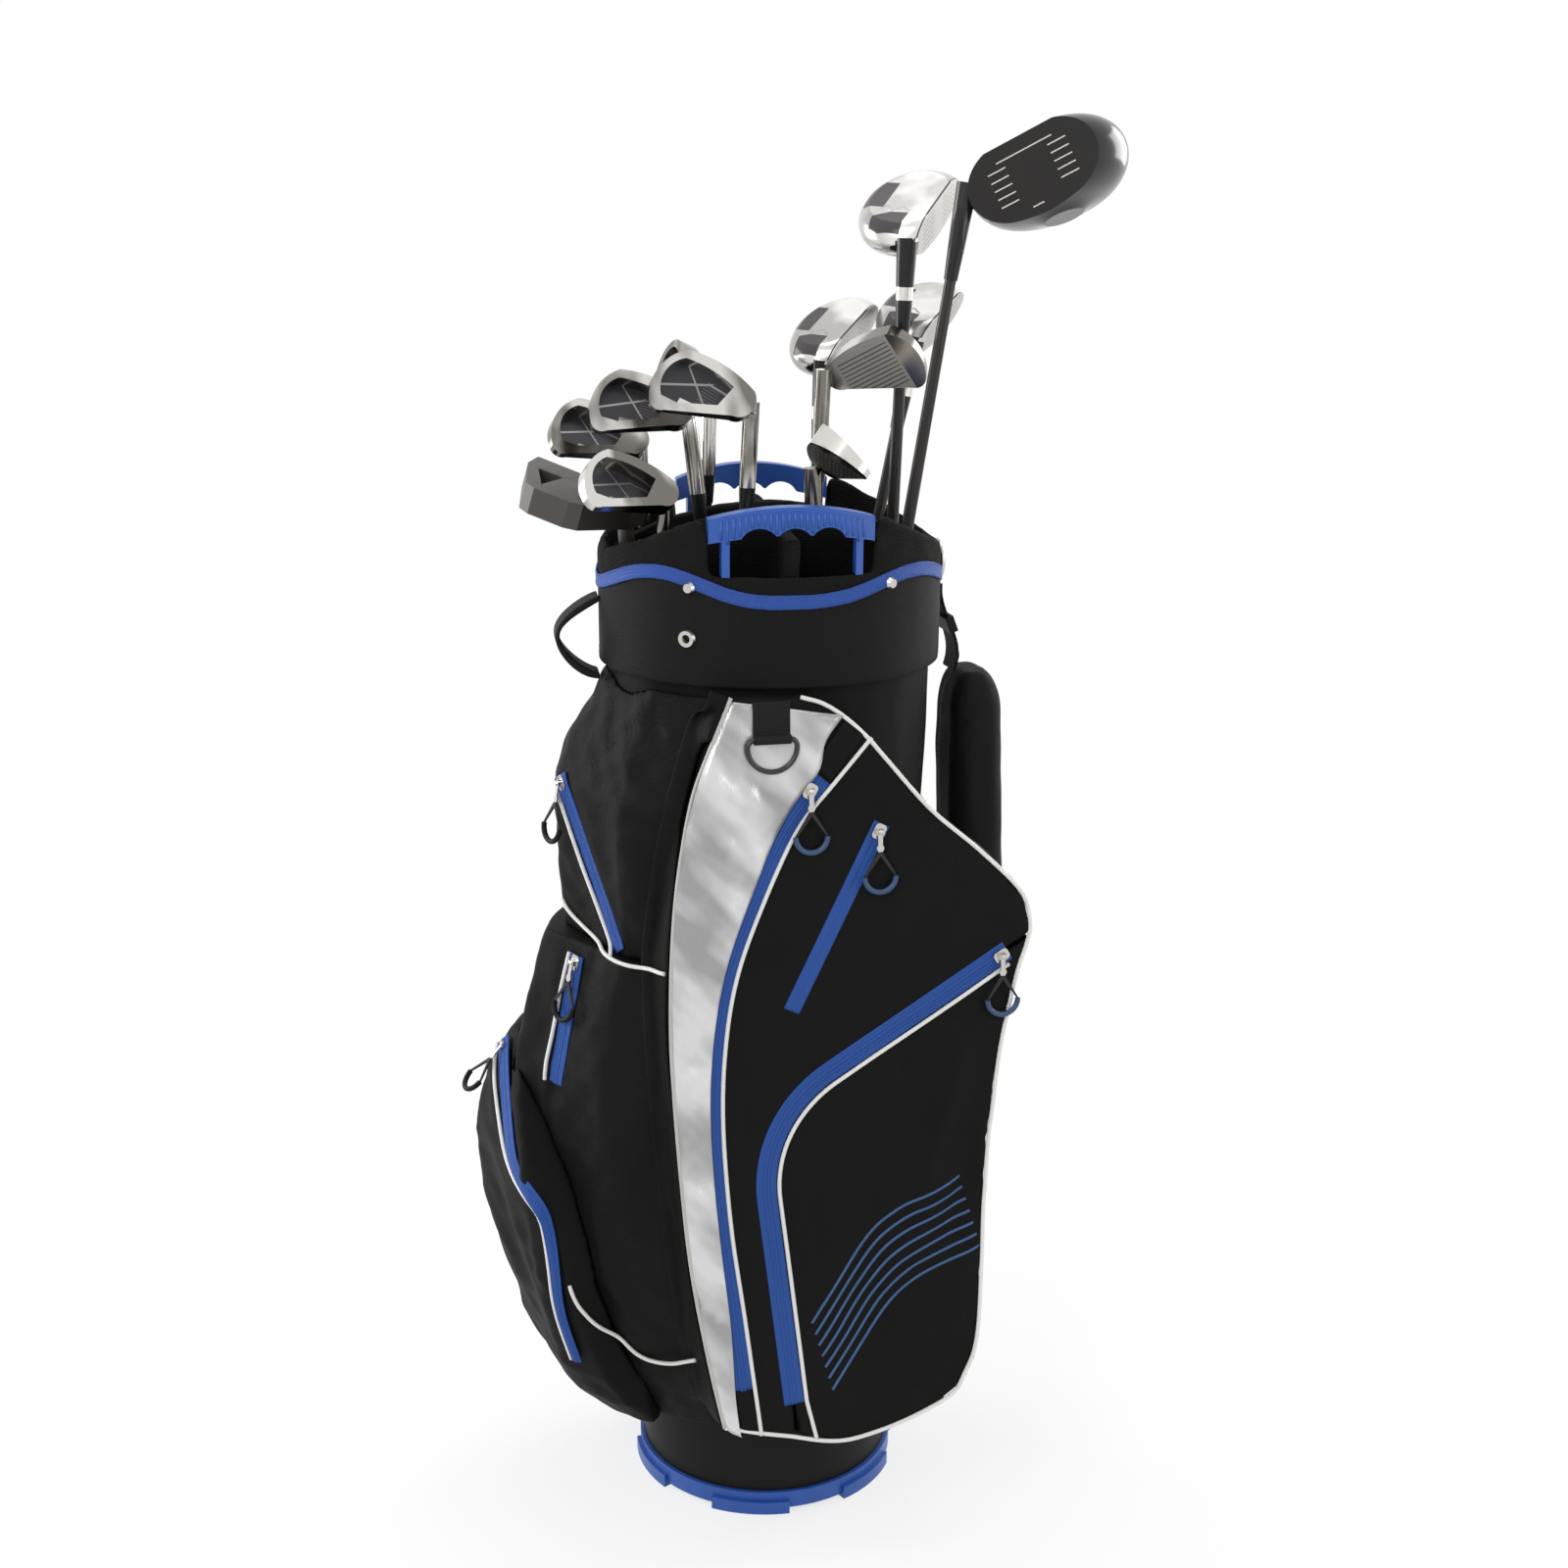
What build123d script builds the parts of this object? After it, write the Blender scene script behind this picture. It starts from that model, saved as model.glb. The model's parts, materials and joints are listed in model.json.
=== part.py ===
from build123d import *
from math import atan2, cos, degrees, hypot, radians, sin, sqrt, tan
import os

# Golf club set: a cart bag on its base, holding twelve clubs head up.
# Millimetres. The origin is the centre of the base on the floor, +Z up.
# The bag's front, with its handle and towel ring, faces -Y.

# Driving dimensions of the bag body
floor_lift = 12.0          # underside of the base cup above the ground
floor_thickness = 5.0
cup_radius = 112.5
cup_wall = 3.0
cup_top = 92.0
tube_top = 812.0
tube_top_half_width = 137.0
tube_top_half_depth = 123.0
tube_wall = 3.0
cuff_half_width = 143.0
cuff_half_depth = 128.0
cuff_bottom = 757.0
collar_wall = 8.0
trim_height = 11.0
trim_thickness = 1.5
trim_side = 817.0          # lower edge of the blue trim at the bag's sides
trim_front = 821.0
trim_hump = 840.0
hump_offset = 95.0         # sideways place of the trim's humps
collar_peak = 889.0        # collar beside the handles
collar_side = 848.0
grip_opening_bottom = 845.0
fit = 0.1                  # between pieces that seat in one another
soft_gap = 0.3             # between a soft piece and its neighbour

# Driving dimensions of the foot ring
ring_inner = 88.0
ring_lip = 6.0
ring_outer = 116.0
ring_height = 20.0
ring_clearance = 4.0       # ring above the ground between its lugs
lug_radius = 119.5
lug_count = 6
lug_sweep = 34.0
lug_start = -105.0

# Driving dimensions of the divider frame
bar_width = 11.0
bar_bottom = 800.0
bar_crown = 882.0
bar_side = 838.0
long_bar_depths = (-66.0, -18.0, 27.0)
cross_bar_drop = 8.0       # cross bars stand this much lower
cross_bars = ((0.0,), (-58.0, 1.0, 68.0), (-88.0, -8.0, 73.0), (-74.0, 2.0, 78.0))

# Driving dimensions of the handles
handle_half_length = 66.0
handle_thickness = 13.0
handle_height = 19.0
handle_top = 901.0
handle_end_drop = 11.0
handle_leg = 6.0
scallop_radius = 16.0
scallop_pitch = 27.0

# The flat front of the front pocket: a plane turned a little to the bag's side and leaning back
face_turn = 4.0
face_lean = 4.5
face_distance = 165.0
face_height = 400.0
pocket_depth = 125.0
gusset_bulge = 1.05        # the gusset's middle against the front outline
gusset_root = 0.70         # the gusset's seam on the tube against the front outline
pocket_middle = 35.0

# Zips
tape_width = 16.0
tape_thickness = 1.2
tape_gap = 0.1

# Clubs
shaft_butt = 7.4
grip_butt = 13.2
grip_mouth = 9.4
grip_length = 267.0
grip_cap = 3.0
ferrule_length = 24.0
bore_depth = 30.0

os.makedirs("parts", exist_ok=True)


def save(part, name):
    part.label = name
    export_step(part, f"parts/{name}.step")


# Bag tube

tube_bottom = cup_top + soft_gap


def tube_half_width(height):
    share = (height - tube_bottom) / (tube_top - tube_bottom)
    return cup_radius + (tube_top_half_width - cup_radius) * share


def tube_half_depth(height):
    share = (height - tube_bottom) / (tube_top - tube_bottom)
    return cup_radius + (tube_top_half_depth - cup_radius) * share


def tube_core(growth, bottom, top):
    """A solid that fills the tube from one height to another, grown outwards."""
    with BuildPart() as core:
        for height in (bottom, top):
            with BuildSketch(Plane.XY.offset(height)):
                Ellipse(tube_half_width(height) + growth, tube_half_depth(height) + growth)
        loft(ruled=True)
    return core.part


def oval_band(half_width, half_depth, wall, bottom, top):
    """An oval ring of upright wall."""
    with BuildPart() as band:
        with BuildSketch(Plane.XY.offset(bottom)):
            Ellipse(half_width, half_depth)
            Ellipse(half_width - wall, half_depth - wall, mode=Mode.SUBTRACT)
        extrude(amount=top - bottom)
    return band.part


outer_core = tube_core(0, tube_bottom, tube_top)
inner_core = tube_core(-tube_wall, tube_bottom, tube_top)
clear_core = tube_core(soft_gap, tube_bottom, tube_top)

with BuildPart() as bag_tube:
    add(outer_core)
    add(inner_core, mode=Mode.SUBTRACT)
save(bag_tube.part, "bag_tube")

# Base cup and foot ring

with BuildPart() as base_cup:
    with BuildSketch(Plane.XY.offset(floor_lift)):
        Circle(cup_radius)
    extrude(amount=cup_top - floor_lift)
    with BuildSketch(Plane.XY.offset(floor_lift + floor_thickness)):
        Circle(cup_radius - cup_wall)
    extrude(amount=cup_top - floor_lift - floor_thickness, mode=Mode.SUBTRACT)
save(base_cup.part, "base_cup")

cup_floor = floor_lift + floor_thickness
shelf_top = floor_lift - fit
skirt_inner = cup_radius + fit

with BuildPart() as foot_ring:
    with BuildSketch(Plane.XZ):
        with BuildLine():
            Polyline(
                (ring_inner, 0),
                (ring_inner + ring_lip, 0),
                (ring_inner + ring_lip, ring_clearance),
                (ring_outer, ring_clearance),
                (ring_outer, ring_height),
                (skirt_inner, ring_height),
                (skirt_inner, shelf_top),
                (ring_inner, shelf_top),
                close=True,
            )
        make_face()
    revolve(axis=Axis.Z)
    for turn in range(lug_count):
        with BuildSketch(Plane.XY):
            with BuildLine():
                start = lug_start + turn * 360 / lug_count - lug_sweep / 2
                outer = CenterArc((0, 0), lug_radius, start, lug_sweep)
                inner = CenterArc((0, 0), ring_inner + ring_lip / 2, start, lug_sweep)
                Line(outer @ 0, inner @ 0)
                Line(outer @ 1, inner @ 1)
            make_face()
        extrude(amount=shelf_top)
save(foot_ring.part, "foot_ring")

# Cuff, trim and rim collar share the trim's wavy line, drawn across the bag's front

trim_line = (
    (-cuff_half_width - 2, trim_side),
    (-hump_offset, trim_hump),
    (-hump_offset / 2, trim_front + 4),
    (0, trim_front),
    (hump_offset / 2, trim_front + 4),
    (hump_offset, trim_hump - 3),
    (cuff_half_width + 2, trim_side),
)


def front_slab(lift, thickness):
    """A slab between two copies of the trim line, right through the bag from front to back."""
    reach = cuff_half_depth + 20
    with BuildPart() as slab:
        with BuildSketch(Plane.XZ.offset(-reach)):
            with BuildLine():
                lower = Spline([(x, z + lift) for x, z in trim_line])
                upper = Spline([(x, z + lift + thickness) for x, z in trim_line])
                Line(lower @ 0, upper @ 0)
                Line(lower @ 1, upper @ 1)
            make_face()
        extrude(amount=2 * reach)
    return slab.part


seam_lift = trim_height / 2
cuff_wall = min(cuff_half_width - tube_top_half_width, cuff_half_depth - tube_top_half_depth) - soft_gap
cuff_blank = oval_band(cuff_half_width, cuff_half_depth, cuff_wall, cuff_bottom, trim_hump + trim_height)
collar_blank = oval_band(cuff_half_width, cuff_half_depth, collar_wall, tube_top + soft_gap, collar_peak + 10)

with BuildPart() as cuff_band:
    add(cuff_blank)
    add(front_slab(seam_lift, 60), mode=Mode.SUBTRACT)
save(cuff_band.part, "cuff_band")

with BuildPart() as trim_band:
    add(oval_band(cuff_half_width + fit + trim_thickness, cuff_half_depth + fit + trim_thickness,
                  trim_thickness, trim_side - 5, trim_hump + trim_height + 5))
    add(front_slab(0, trim_height), mode=Mode.INTERSECT)
save(trim_band.part, "trim_band")

opening_top = handle_half_length + 2
opening_bottom = handle_half_length - 1.5

with BuildPart() as rim_collar:
    add(collar_blank)
    with BuildSketch(Plane.XZ.offset(-cuff_half_depth - 20)):
        with BuildLine():
            side = cuff_half_width + 2
            peak = handle_half_length + 7
            left_slope = Spline((-side, collar_side), (-side + 18, collar_side + 13), (-peak, collar_peak))
            right_slope = Spline((peak, collar_peak), (side - 18, collar_side + 13), (side, collar_side))
            Polyline(
                left_slope @ 1,
                (-opening_top, collar_peak - 4),
                (-opening_bottom, grip_opening_bottom),
                (opening_bottom, grip_opening_bottom),
                (opening_top, collar_peak - 4),
                right_slope @ 0,
            )
            Polyline(right_slope @ 1, (side, tube_top), (-side, tube_top), left_slope @ 0)
        make_face()
    extrude(amount=2 * (cuff_half_depth + 20), mode=Mode.INTERSECT)
    add(front_slab(seam_lift + soft_gap - 60, 60), mode=Mode.SUBTRACT)
save(rim_collar.part, "rim_collar")

# Divider frame: long bars from side to side, cross bars between them, all domed on top

well_half_width = cuff_half_width - collar_wall - soft_gap
well_half_depth = cuff_half_depth - collar_wall - soft_gap


def dome(drop):
    """The space below the frame's domed top, inside the collar and the tube."""
    with BuildPart() as space:
        with BuildSketch(Plane.XZ.offset(-cuff_half_depth)):
            with BuildLine():
                crown = ThreePointArc(
                    (-cuff_half_width, bar_side - drop),
                    (0, bar_crown - drop),
                    (cuff_half_width, bar_side - drop),
                )
                Polyline(crown @ 1, (cuff_half_width, bar_bottom), (-cuff_half_width, bar_bottom), crown @ 0)
            make_face()
        extrude(amount=2 * cuff_half_depth)
        with BuildSketch(Plane.XY.offset(bar_bottom)):
            Ellipse(
                min(well_half_width, tube_half_width(bar_bottom) - tube_wall - soft_gap),
                min(well_half_depth, tube_half_depth(bar_bottom) - tube_wall - soft_gap),
            )
        extrude(amount=bar_crown, mode=Mode.INTERSECT)
    return space.part


with BuildPart() as long_bars:
    with BuildSketch(Plane.XY.offset(bar_bottom)):
        with Locations([(0, depth) for depth in long_bar_depths]):
            Rectangle(2 * cuff_half_width, bar_width)
    extrude(amount=bar_crown - bar_bottom)
    add(dome(0), mode=Mode.INTERSECT)

row_edges = (-cuff_half_depth, *long_bar_depths, cuff_half_depth)

with BuildPart() as cross_bar_set:
    with BuildSketch(Plane.XY.offset(bar_bottom)):
        for row, places in enumerate(cross_bars):
            start = row_edges[row] + bar_width / 2 * (row > 0)
            stop = row_edges[row + 1] - bar_width / 2 * (row < len(cross_bars) - 1)
            with Locations([(place, (start + stop) / 2) for place in places]):
                Rectangle(bar_width, stop - start - 2 * fit)
    extrude(amount=bar_crown - bar_bottom)
    add(dome(cross_bar_drop), mode=Mode.INTERSECT)

divider_frame = Compound(children=[*long_bars.part.solids(), *cross_bar_set.part.solids()])
save(divider_frame, "divider_frame")

# Moulded carry handles, front and rear


def carry_handle(name, side):
    outer_depth = cuff_half_depth - 1
    inner_depth = outer_depth - handle_thickness
    bow = 15.0
    end_top = handle_top - handle_end_drop
    with BuildPart() as handle:
        with BuildSketch(Plane.XY.offset(grip_opening_bottom + soft_gap)):
            with BuildLine():
                outer = ThreePointArc(
                    (-handle_half_length, side * (outer_depth - bow)),
                    (0, side * outer_depth),
                    (handle_half_length, side * (outer_depth - bow)),
                )
                inner = ThreePointArc(
                    (-handle_half_length, side * (inner_depth - bow)),
                    (0, side * inner_depth),
                    (handle_half_length, side * (inner_depth - bow)),
                )
                Line(outer @ 0, inner @ 0)
                Line(outer @ 1, inner @ 1)
            make_face()
        extrude(amount=handle_top - grip_opening_bottom)
        with BuildSketch(Plane.XZ.offset(-cuff_half_depth - 10)):
            leg = handle_half_length - 13
            with BuildLine():
                top = ThreePointArc((-handle_half_length, end_top), (0, handle_top), (handle_half_length, end_top))
                low_left = (-handle_half_length, end_top - handle_height)
                low_right = (handle_half_length, end_top - handle_height)
                bottom = ThreePointArc(low_left, (0, handle_top - handle_height - 3), low_right)
                Line(top @ 0, bottom @ 0)
                Line(top @ 1, bottom @ 1)
            make_face()
            with Locations(
                *[((count - 1) * scallop_pitch, handle_top - handle_height - 13.5) for count in range(3)]
            ):
                Circle(scallop_radius, mode=Mode.SUBTRACT)
            leg_height = end_top - grip_opening_bottom - 6
            with Locations((-leg, grip_opening_bottom + leg_height / 2), (leg, grip_opening_bottom + leg_height / 2)):
                Rectangle(handle_leg, leg_height)
        extrude(amount=2 * (cuff_half_depth + 10), mode=Mode.INTERSECT)
    save(handle.part, name)


carry_handle("front_handle", -1)
carry_handle("rear_handle", 1)

# Rivets through the trim and press studs on the cuff


def cuff_plane(turn, height, lift=0.0):
    """A plane on the cuff's outside: turn in degrees from the front towards +X, its z outwards."""
    along = Vector(cos(radians(turn)), sin(radians(turn)), 0)
    spot = Vector(cuff_half_width * sin(radians(turn)), -cuff_half_depth * cos(radians(turn)), height)
    tangent = Vector(cuff_half_width * cos(radians(turn)), cuff_half_depth * sin(radians(turn)), 0).normalized()
    outwards = tangent.cross(Vector(0, 0, 1))
    return Plane(origin=spot + outwards * lift, x_dir=tangent, z_dir=outwards)


rivet_turn = 34.0
rivet_height = 836.0
rivet_radius = 5.0
stud_radius = 7.5
stud_height = 795.0
stud_places = ((-35.0, stud_height), (99.0, stud_height))

with BuildPart() as rivets:
    for turn in (-rivet_turn, rivet_turn, 180 - rivet_turn, 180 + rivet_turn):
        with BuildSketch(cuff_plane(turn, rivet_height, trim_thickness + 4 * fit)):
            Circle(rivet_radius)
        extrude(amount=2.4, taper=30)
    for turn, height in stud_places:
        with BuildSketch(cuff_plane(turn, height, 4 * fit)):
            Circle(stud_radius)
            Circle(stud_radius / 3, mode=Mode.SUBTRACT)
        extrude(amount=2.2, taper=25)
save(rivets.part, "rivets_and_studs")

# Side carry handle: a webbing loop standing out from the cuff's left side


def side_plane(turn):
    """An upright plane that holds the radial direction as x, height as y."""
    radial = Vector(sin(radians(turn)), -cos(radians(turn)), 0)
    return Plane(origin=(0, 0, 0), x_dir=radial, z_dir=radial.cross(Vector(0, 0, 1)))


def webbing(turn, outside, inside, width):
    """A flat band: its side view is drawn between two splines and given the webbing's width."""
    with BuildPart() as band:
        with BuildSketch(side_plane(turn).offset(-width / 2)):
            with BuildLine():
                first = Spline(outside)
                second = Spline(inside)
                Line(first @ 0, second @ 0)
                Line(first @ 1, second @ 1)
            make_face()
        extrude(amount=width)
    return band.part


side_handle_turn = -90.0
side_handle_seat = cuff_half_width + 2 * soft_gap
side_handle_stand = 36.0
side_handle_ends = (742.0, 812.0)
side_handle_width = 26.0
side_handle_thickness = 3.5

with BuildPart() as side_handle:
    low, high = side_handle_ends
    middle = (low + high) / 2
    reach = side_handle_seat + side_handle_stand
    inner_reach = reach - side_handle_thickness
    add(webbing(
        side_handle_turn,
        [(side_handle_seat, low), (reach - 8, low + 16), (reach, middle + 4), (reach - 14, high - 12), (side_handle_seat, high)],
        [(side_handle_seat, low + 5), (inner_reach - 9, low + 20), (inner_reach, middle + 3),
         (inner_reach - 14, high - 16), (side_handle_seat, high - 5)],
        side_handle_width,
    ))
save(side_handle.part, "side_handle")

# Shoulder strap on the right: ring, webbing, buckle and pad

strap_turn = 96.0
strap_ring_radius = 16.0
strap_ring_wire = 2.2
strap_ring_height = 831.0
webbing_thickness = 2.5
webbing_width = 30.0
pad_width = 66.0
pad_thickness = 15.0
pad_top = 735.0
pad_bottom = 428.0

ring_centre = cuff_half_width + fit + trim_thickness + soft_gap + strap_ring_wire

with BuildPart() as strap_ring:
    with BuildSketch(side_plane(strap_turn)):
        with Locations((ring_centre, strap_ring_height + strap_ring_radius)):
            Circle(strap_ring_wire)
    pivot = side_plane(strap_turn).from_local_coords(Vector(ring_centre, strap_ring_height, 0))
    outward = Vector(sin(radians(strap_turn)), -cos(radians(strap_turn)), 0)
    revolve(axis=Axis(pivot, outward))
save(strap_ring.part, "strap_ring")

strap_top = strap_ring_height - strap_ring_radius - strap_ring_wire - soft_gap

near = ring_centre - webbing_thickness / 2
far = near + webbing_thickness
lower_seat = tube_half_width(330) + soft_gap
pad_foot = near + 30

with BuildPart() as strap_webbing:
    add(webbing(
        strap_turn,
        [(far, strap_top), (far + 3, strap_top - 20), (far + 14, pad_top + 30), (far + 14, pad_top + soft_gap)],
        [(near, strap_top), (near + 3, strap_top - 20), (near + 14, pad_top + 30), (near + 14, pad_top + soft_gap)],
        webbing_width,
    ))
    add(webbing(
        strap_turn,
        [(pad_foot + webbing_thickness, pad_bottom - soft_gap), (pad_foot - 12, pad_bottom - 50),
         (lower_seat + webbing_thickness, 330)],
        [(pad_foot, pad_bottom - soft_gap), (pad_foot - 15, pad_bottom - 50), (lower_seat, 333)],
        webbing_width,
    ))
save(strap_webbing.part, "strap_webbing")

buckle_height = pad_top + 42
buckle_length = 14.0
buckle_thickness = 7.5
buckle_lean = 21.0

with BuildPart() as strap_buckle:
    buckle_place = Location((far + 8, buckle_height), buckle_lean)
    with BuildSketch(side_plane(strap_turn).offset(-webbing_width / 2 - 3)):
        with Locations(buckle_place):
            Rectangle(buckle_thickness, buckle_length)
    extrude(amount=webbing_width + 6)
    with BuildSketch(side_plane(strap_turn).offset(-webbing_width / 2 - soft_gap)):
        with Locations(buckle_place):
            Rectangle(webbing_thickness + 5 * soft_gap, buckle_length + 2)
    extrude(amount=webbing_width + 2 * soft_gap, mode=Mode.SUBTRACT)
save(strap_buckle.part, "strap_buckle")

with BuildPart() as strap_pad:
    add(webbing(
        strap_turn,
        [(near + 24, pad_top), (near + 52, pad_top - 70), (near + 66, 600), (near + 62, 500), (near + 38, pad_bottom)],
        [(near + 9, pad_top), (near + 36, pad_top - 72), (near + 50, 600), (near + 46, 502), (near + 23, pad_bottom)],
        pad_width,
    ))
save(strap_pad.part, "strap_pad")

# Front pockets: one block with a flat front, parted into two pockets along the lower zip

tilt = radians(face_lean)
turn_angle = radians(face_turn)
face_normal = Vector(sin(turn_angle) * cos(tilt), -cos(turn_angle) * cos(tilt), sin(tilt))
face_across = Vector(cos(turn_angle), sin(turn_angle), 0)
face_origin = Vector(face_distance * sin(turn_angle), -face_distance * cos(turn_angle), face_height)
face = Plane(origin=face_origin, x_dir=face_across, z_dir=face_normal)


def pocket_outline(depth, spread, growth=0.0):
    """The pocket's outline at a depth behind its flat front, spread sideways about the pocket's middle."""

    def at(across, up):
        stretched = pocket_middle + (across - pocket_middle) * (spread + growth / 150)
        return (stretched, up * (1 + growth / 350))

    top_left, top_right = at(-62, 354), at(0, 354)
    with BuildSketch(face.offset(-depth)) as outline:
        with BuildLine():
            Line(top_left, top_right)
            Spline(top_right, at(48, 319), at(101, 259), at(143, 220), at(176, 187))
            ThreePointArc(at(176, 187), at(187, 160), at(183, 132))
            Spline(at(183, 132), at(160, 41), at(148, -79), at(144, -195))
            ThreePointArc(at(144, -195), at(135, -239), at(106, -266))
            Spline(at(106, -266), at(34, -287), at(-26, -279), at(-77, -265))
            Spline(at(-77, -265), at(-103, -113), at(-115, 60), at(-103, 227), top_left)
        make_face()
    return outline.sketch


def pocket_block(growth=0.0):
    """The front pockets' common block, from its flat front back into the tube."""
    sections = [
        pocket_outline(-growth, 1, growth),
        pocket_outline(pocket_depth * 0.3, gusset_bulge, growth),
        pocket_outline(pocket_depth, gusset_root, growth),
    ]
    with BuildPart() as block:
        loft(sections, ruled=True)
    return block.part


# The long zip is one arc on the flat front, so that its slider turns about the arc's centre
long_zip_ends = ((4.0, 284.0), (-55.0, -232.0))
long_zip_middle = (-82.5, 33.0)
valuables_ends = ((60.0, 248.0), (-16.0, 97.0))
lower_zip_start = (167.0, 134.0)
lower_zip_corner = (-46.0, 6.0)
lower_zip_end = (-17.0, -248.0)
lower_zip_radius = 110.0


def lower_zip_bend(shift=0.0):
    """The lower zip's bend moved off the zip by shift: its first, middle and last point and both run directions."""
    start, corner, end = Vector(*lower_zip_start), Vector(*lower_zip_corner), Vector(*lower_zip_end)
    first = (start - corner).normalized()
    last = (end - corner).normalized()
    half_bend = radians((180 - first.get_angle(last)) / 2)
    bisector = (first + last).normalized()
    apex = corner + bisector * (shift / cos(half_bend))
    setback = lower_zip_radius * tan(half_bend)
    middle = apex + bisector * (lower_zip_radius / cos(half_bend) - lower_zip_radius)
    return apex + first * setback, middle, apex + last * setback, first, last


def ball_region(shift):
    """The part of the block below and right of the lower zip, moved away from the zip by shift."""
    one, middle, two, first, last = lower_zip_bend(shift)
    with BuildPart() as region:
        with BuildSketch(face.offset(20)):
            with BuildLine():
                Line(one, one + first * 250)
                ThreePointArc(one, middle, two)
                Line(two, two + last * 300)
                Polyline(one + first * 250, (400, 200), (400, -500), two + last * 300)
            make_face()
        extrude(amount=-pocket_depth - 60)
    return region.part


front_block = pocket_block()
front_clear = pocket_block(2 * soft_gap)

with BuildPart() as front_pocket:
    add(front_block)
    add(ball_region(-soft_gap / 2), mode=Mode.SUBTRACT)
    add(clear_core, mode=Mode.SUBTRACT)
save(front_pocket.part, "front_pocket")

with BuildPart() as ball_pocket:
    add(front_block)
    add(ball_region(soft_gap / 2), mode=Mode.INTERSECT)
    add(clear_core, mode=Mode.SUBTRACT)
save(ball_pocket.part, "ball_pocket")

with BuildPart() as front_zips:
    with BuildSketch(face.offset(tape_gap)):
        with BuildLine() as long_line:
            ThreePointArc(long_zip_ends[0], long_zip_middle, long_zip_ends[1])
        trace(long_line.line, line_width=tape_width)
        with BuildLine() as valuables_line:
            Line(*valuables_ends)
        trace(valuables_line.line, line_width=tape_width - 3)
        bend_start, bend_middle, bend_end, _, _ = lower_zip_bend()
        with BuildLine() as lower_line:
            Line(lower_zip_start, bend_start)
            ThreePointArc(bend_start, bend_middle, bend_end)
            Line(bend_end, lower_zip_end)
        trace(lower_line.line, line_width=tape_width)
    extrude(amount=tape_thickness)
save(front_zips.part, "front_zips")

# Left pockets: stacked sections from the tube outwards, with one straight panel for each zip

upper_levels = ((528.3, 50), (600, 53), (660, 52), (694, 38), (722, 17), (750, 3))
middle_levels = ((96, 40), (150, 72), (200, 92), (242, 105), (300, 112), (357, 110), (420, 99), (492, 78), (528, 66))
lower_levels = ((96, 66), (120, 92), (150, 108), (210, 124), (270, 133), (337, 139), (385, 126), (426, 100))
left_turns = (-16, -34, -52, -84, -106, -128)
upper_fullness = (0.6, 0.8, 0.95, 1.0, 0.7, 0.02)
middle_fullness = (0.5, 0.66, 0.79, 1.0, 0.7, 0.02)
lower_turns = (-46, -56, -66, -95, -114, -134)
lower_fullness = (0.7, 0.8, 0.9, 1.0, 0.75, 0.02)


def outside_tube(turn, height, stand):
    """The point that stands a given distance outside the tube, turn in degrees from the front."""
    across, deep = sin(radians(turn)), cos(radians(turn))
    width, depth = tube_half_width(height), tube_half_depth(height)
    radius = width * depth / sqrt((depth * across) ** 2 + (width * deep) ** 2) + stand
    return Vector(radius * across, -radius * deep, height)


def panel_point(levels, turns, fullness, share, height):
    """A point on a pocket's straight panel, share 0 at its front edge and 1 at its rear edge."""
    below = max((level for level in levels if level[0] <= height), key=lambda level: level[0])
    above = min((level for level in levels if level[0] >= height), key=lambda level: level[0])
    mix = 0 if above == below else (height - below[0]) / (above[0] - below[0])
    ends = []
    for level, bulge in (below, above):
        front = outside_tube(turns[2], level, soft_gap + bulge * fullness[2])
        rear = outside_tube(turns[3], level, soft_gap + bulge * fullness[3])
        ends.append(front + (rear - front) * share)
    return ends[0] + (ends[1] - ends[0]) * mix


def left_loft(levels, turns, fullness, growth=0.0):
    """A pocket lofted through level sections that bulge outside the tube."""
    with BuildPart() as pocket:
        side_growth = degrees(growth / cup_radius)
        wide_turns = (turns[0] + side_growth, *turns[1:-1], turns[-1] - side_growth)
        for height, bulge in levels:
            points = [
                outside_tube(turn, height, soft_gap + growth + bulge * full)
                for turn, full in zip(wide_turns, fullness)
            ]
            flat = [(point.X, point.Y) for point in points]
            with BuildSketch(Plane.XY.offset(height)):
                with BuildLine():
                    Spline(flat[0], flat[1], flat[2])
                    Line(flat[2], flat[3])
                    Spline(flat[3], flat[4], flat[5])
                    Polyline(flat[5], (-40, 0), flat[0])
                make_face()
        loft(ruled=True)
    return pocket.part


class StraightZip:
    """A straight zip in a pocket's panel: its plane has x up the tape and z outwards."""

    def __init__(self, levels, turns, fullness, top, bottom):
        self.top = panel_point(levels, turns, fullness, *top)
        self.bottom = panel_point(levels, turns, fullness, *bottom)
        self.length = (self.top - self.bottom).length
        height = (self.top.Z + self.bottom.Z) / 2
        front = panel_point(levels, turns, fullness, 0, height)
        rear = panel_point(levels, turns, fullness, 1, height)
        along = (self.top - self.bottom).normalized()
        outwards = (front - rear).cross(along).normalized()
        if outwards.X > 0:
            outwards = outwards * -1
        middle = (self.top + self.bottom) * 0.5
        self.plane = Plane(origin=middle, x_dir=along, z_dir=outwards)

    def channel(self):
        with BuildPart() as cut:
            with BuildSketch(self.plane.offset(-tape_thickness)):
                Rectangle(self.length + 14, tape_width + 2)
            extrude(amount=40)
        return cut.part

    def tape(self):
        with BuildPart() as band:
            with BuildSketch(self.plane.offset(tape_gap - tape_thickness)):
                Rectangle(self.length, tape_width)
            extrude(amount=tape_thickness)
        return band.part


upper_zip = StraightZip(upper_levels, left_turns, upper_fullness, (0.93, 664), (0.06, 534))
middle_zip = StraightZip(middle_levels, left_turns, middle_fullness, (0.53, 518), (0.53, 362))
low_zip = StraightZip(lower_levels, lower_turns, lower_fullness, (0.93, 415), (0.12, 335))

middle_clear = left_loft(middle_levels, left_turns, middle_fullness, 2 * soft_gap)

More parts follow.
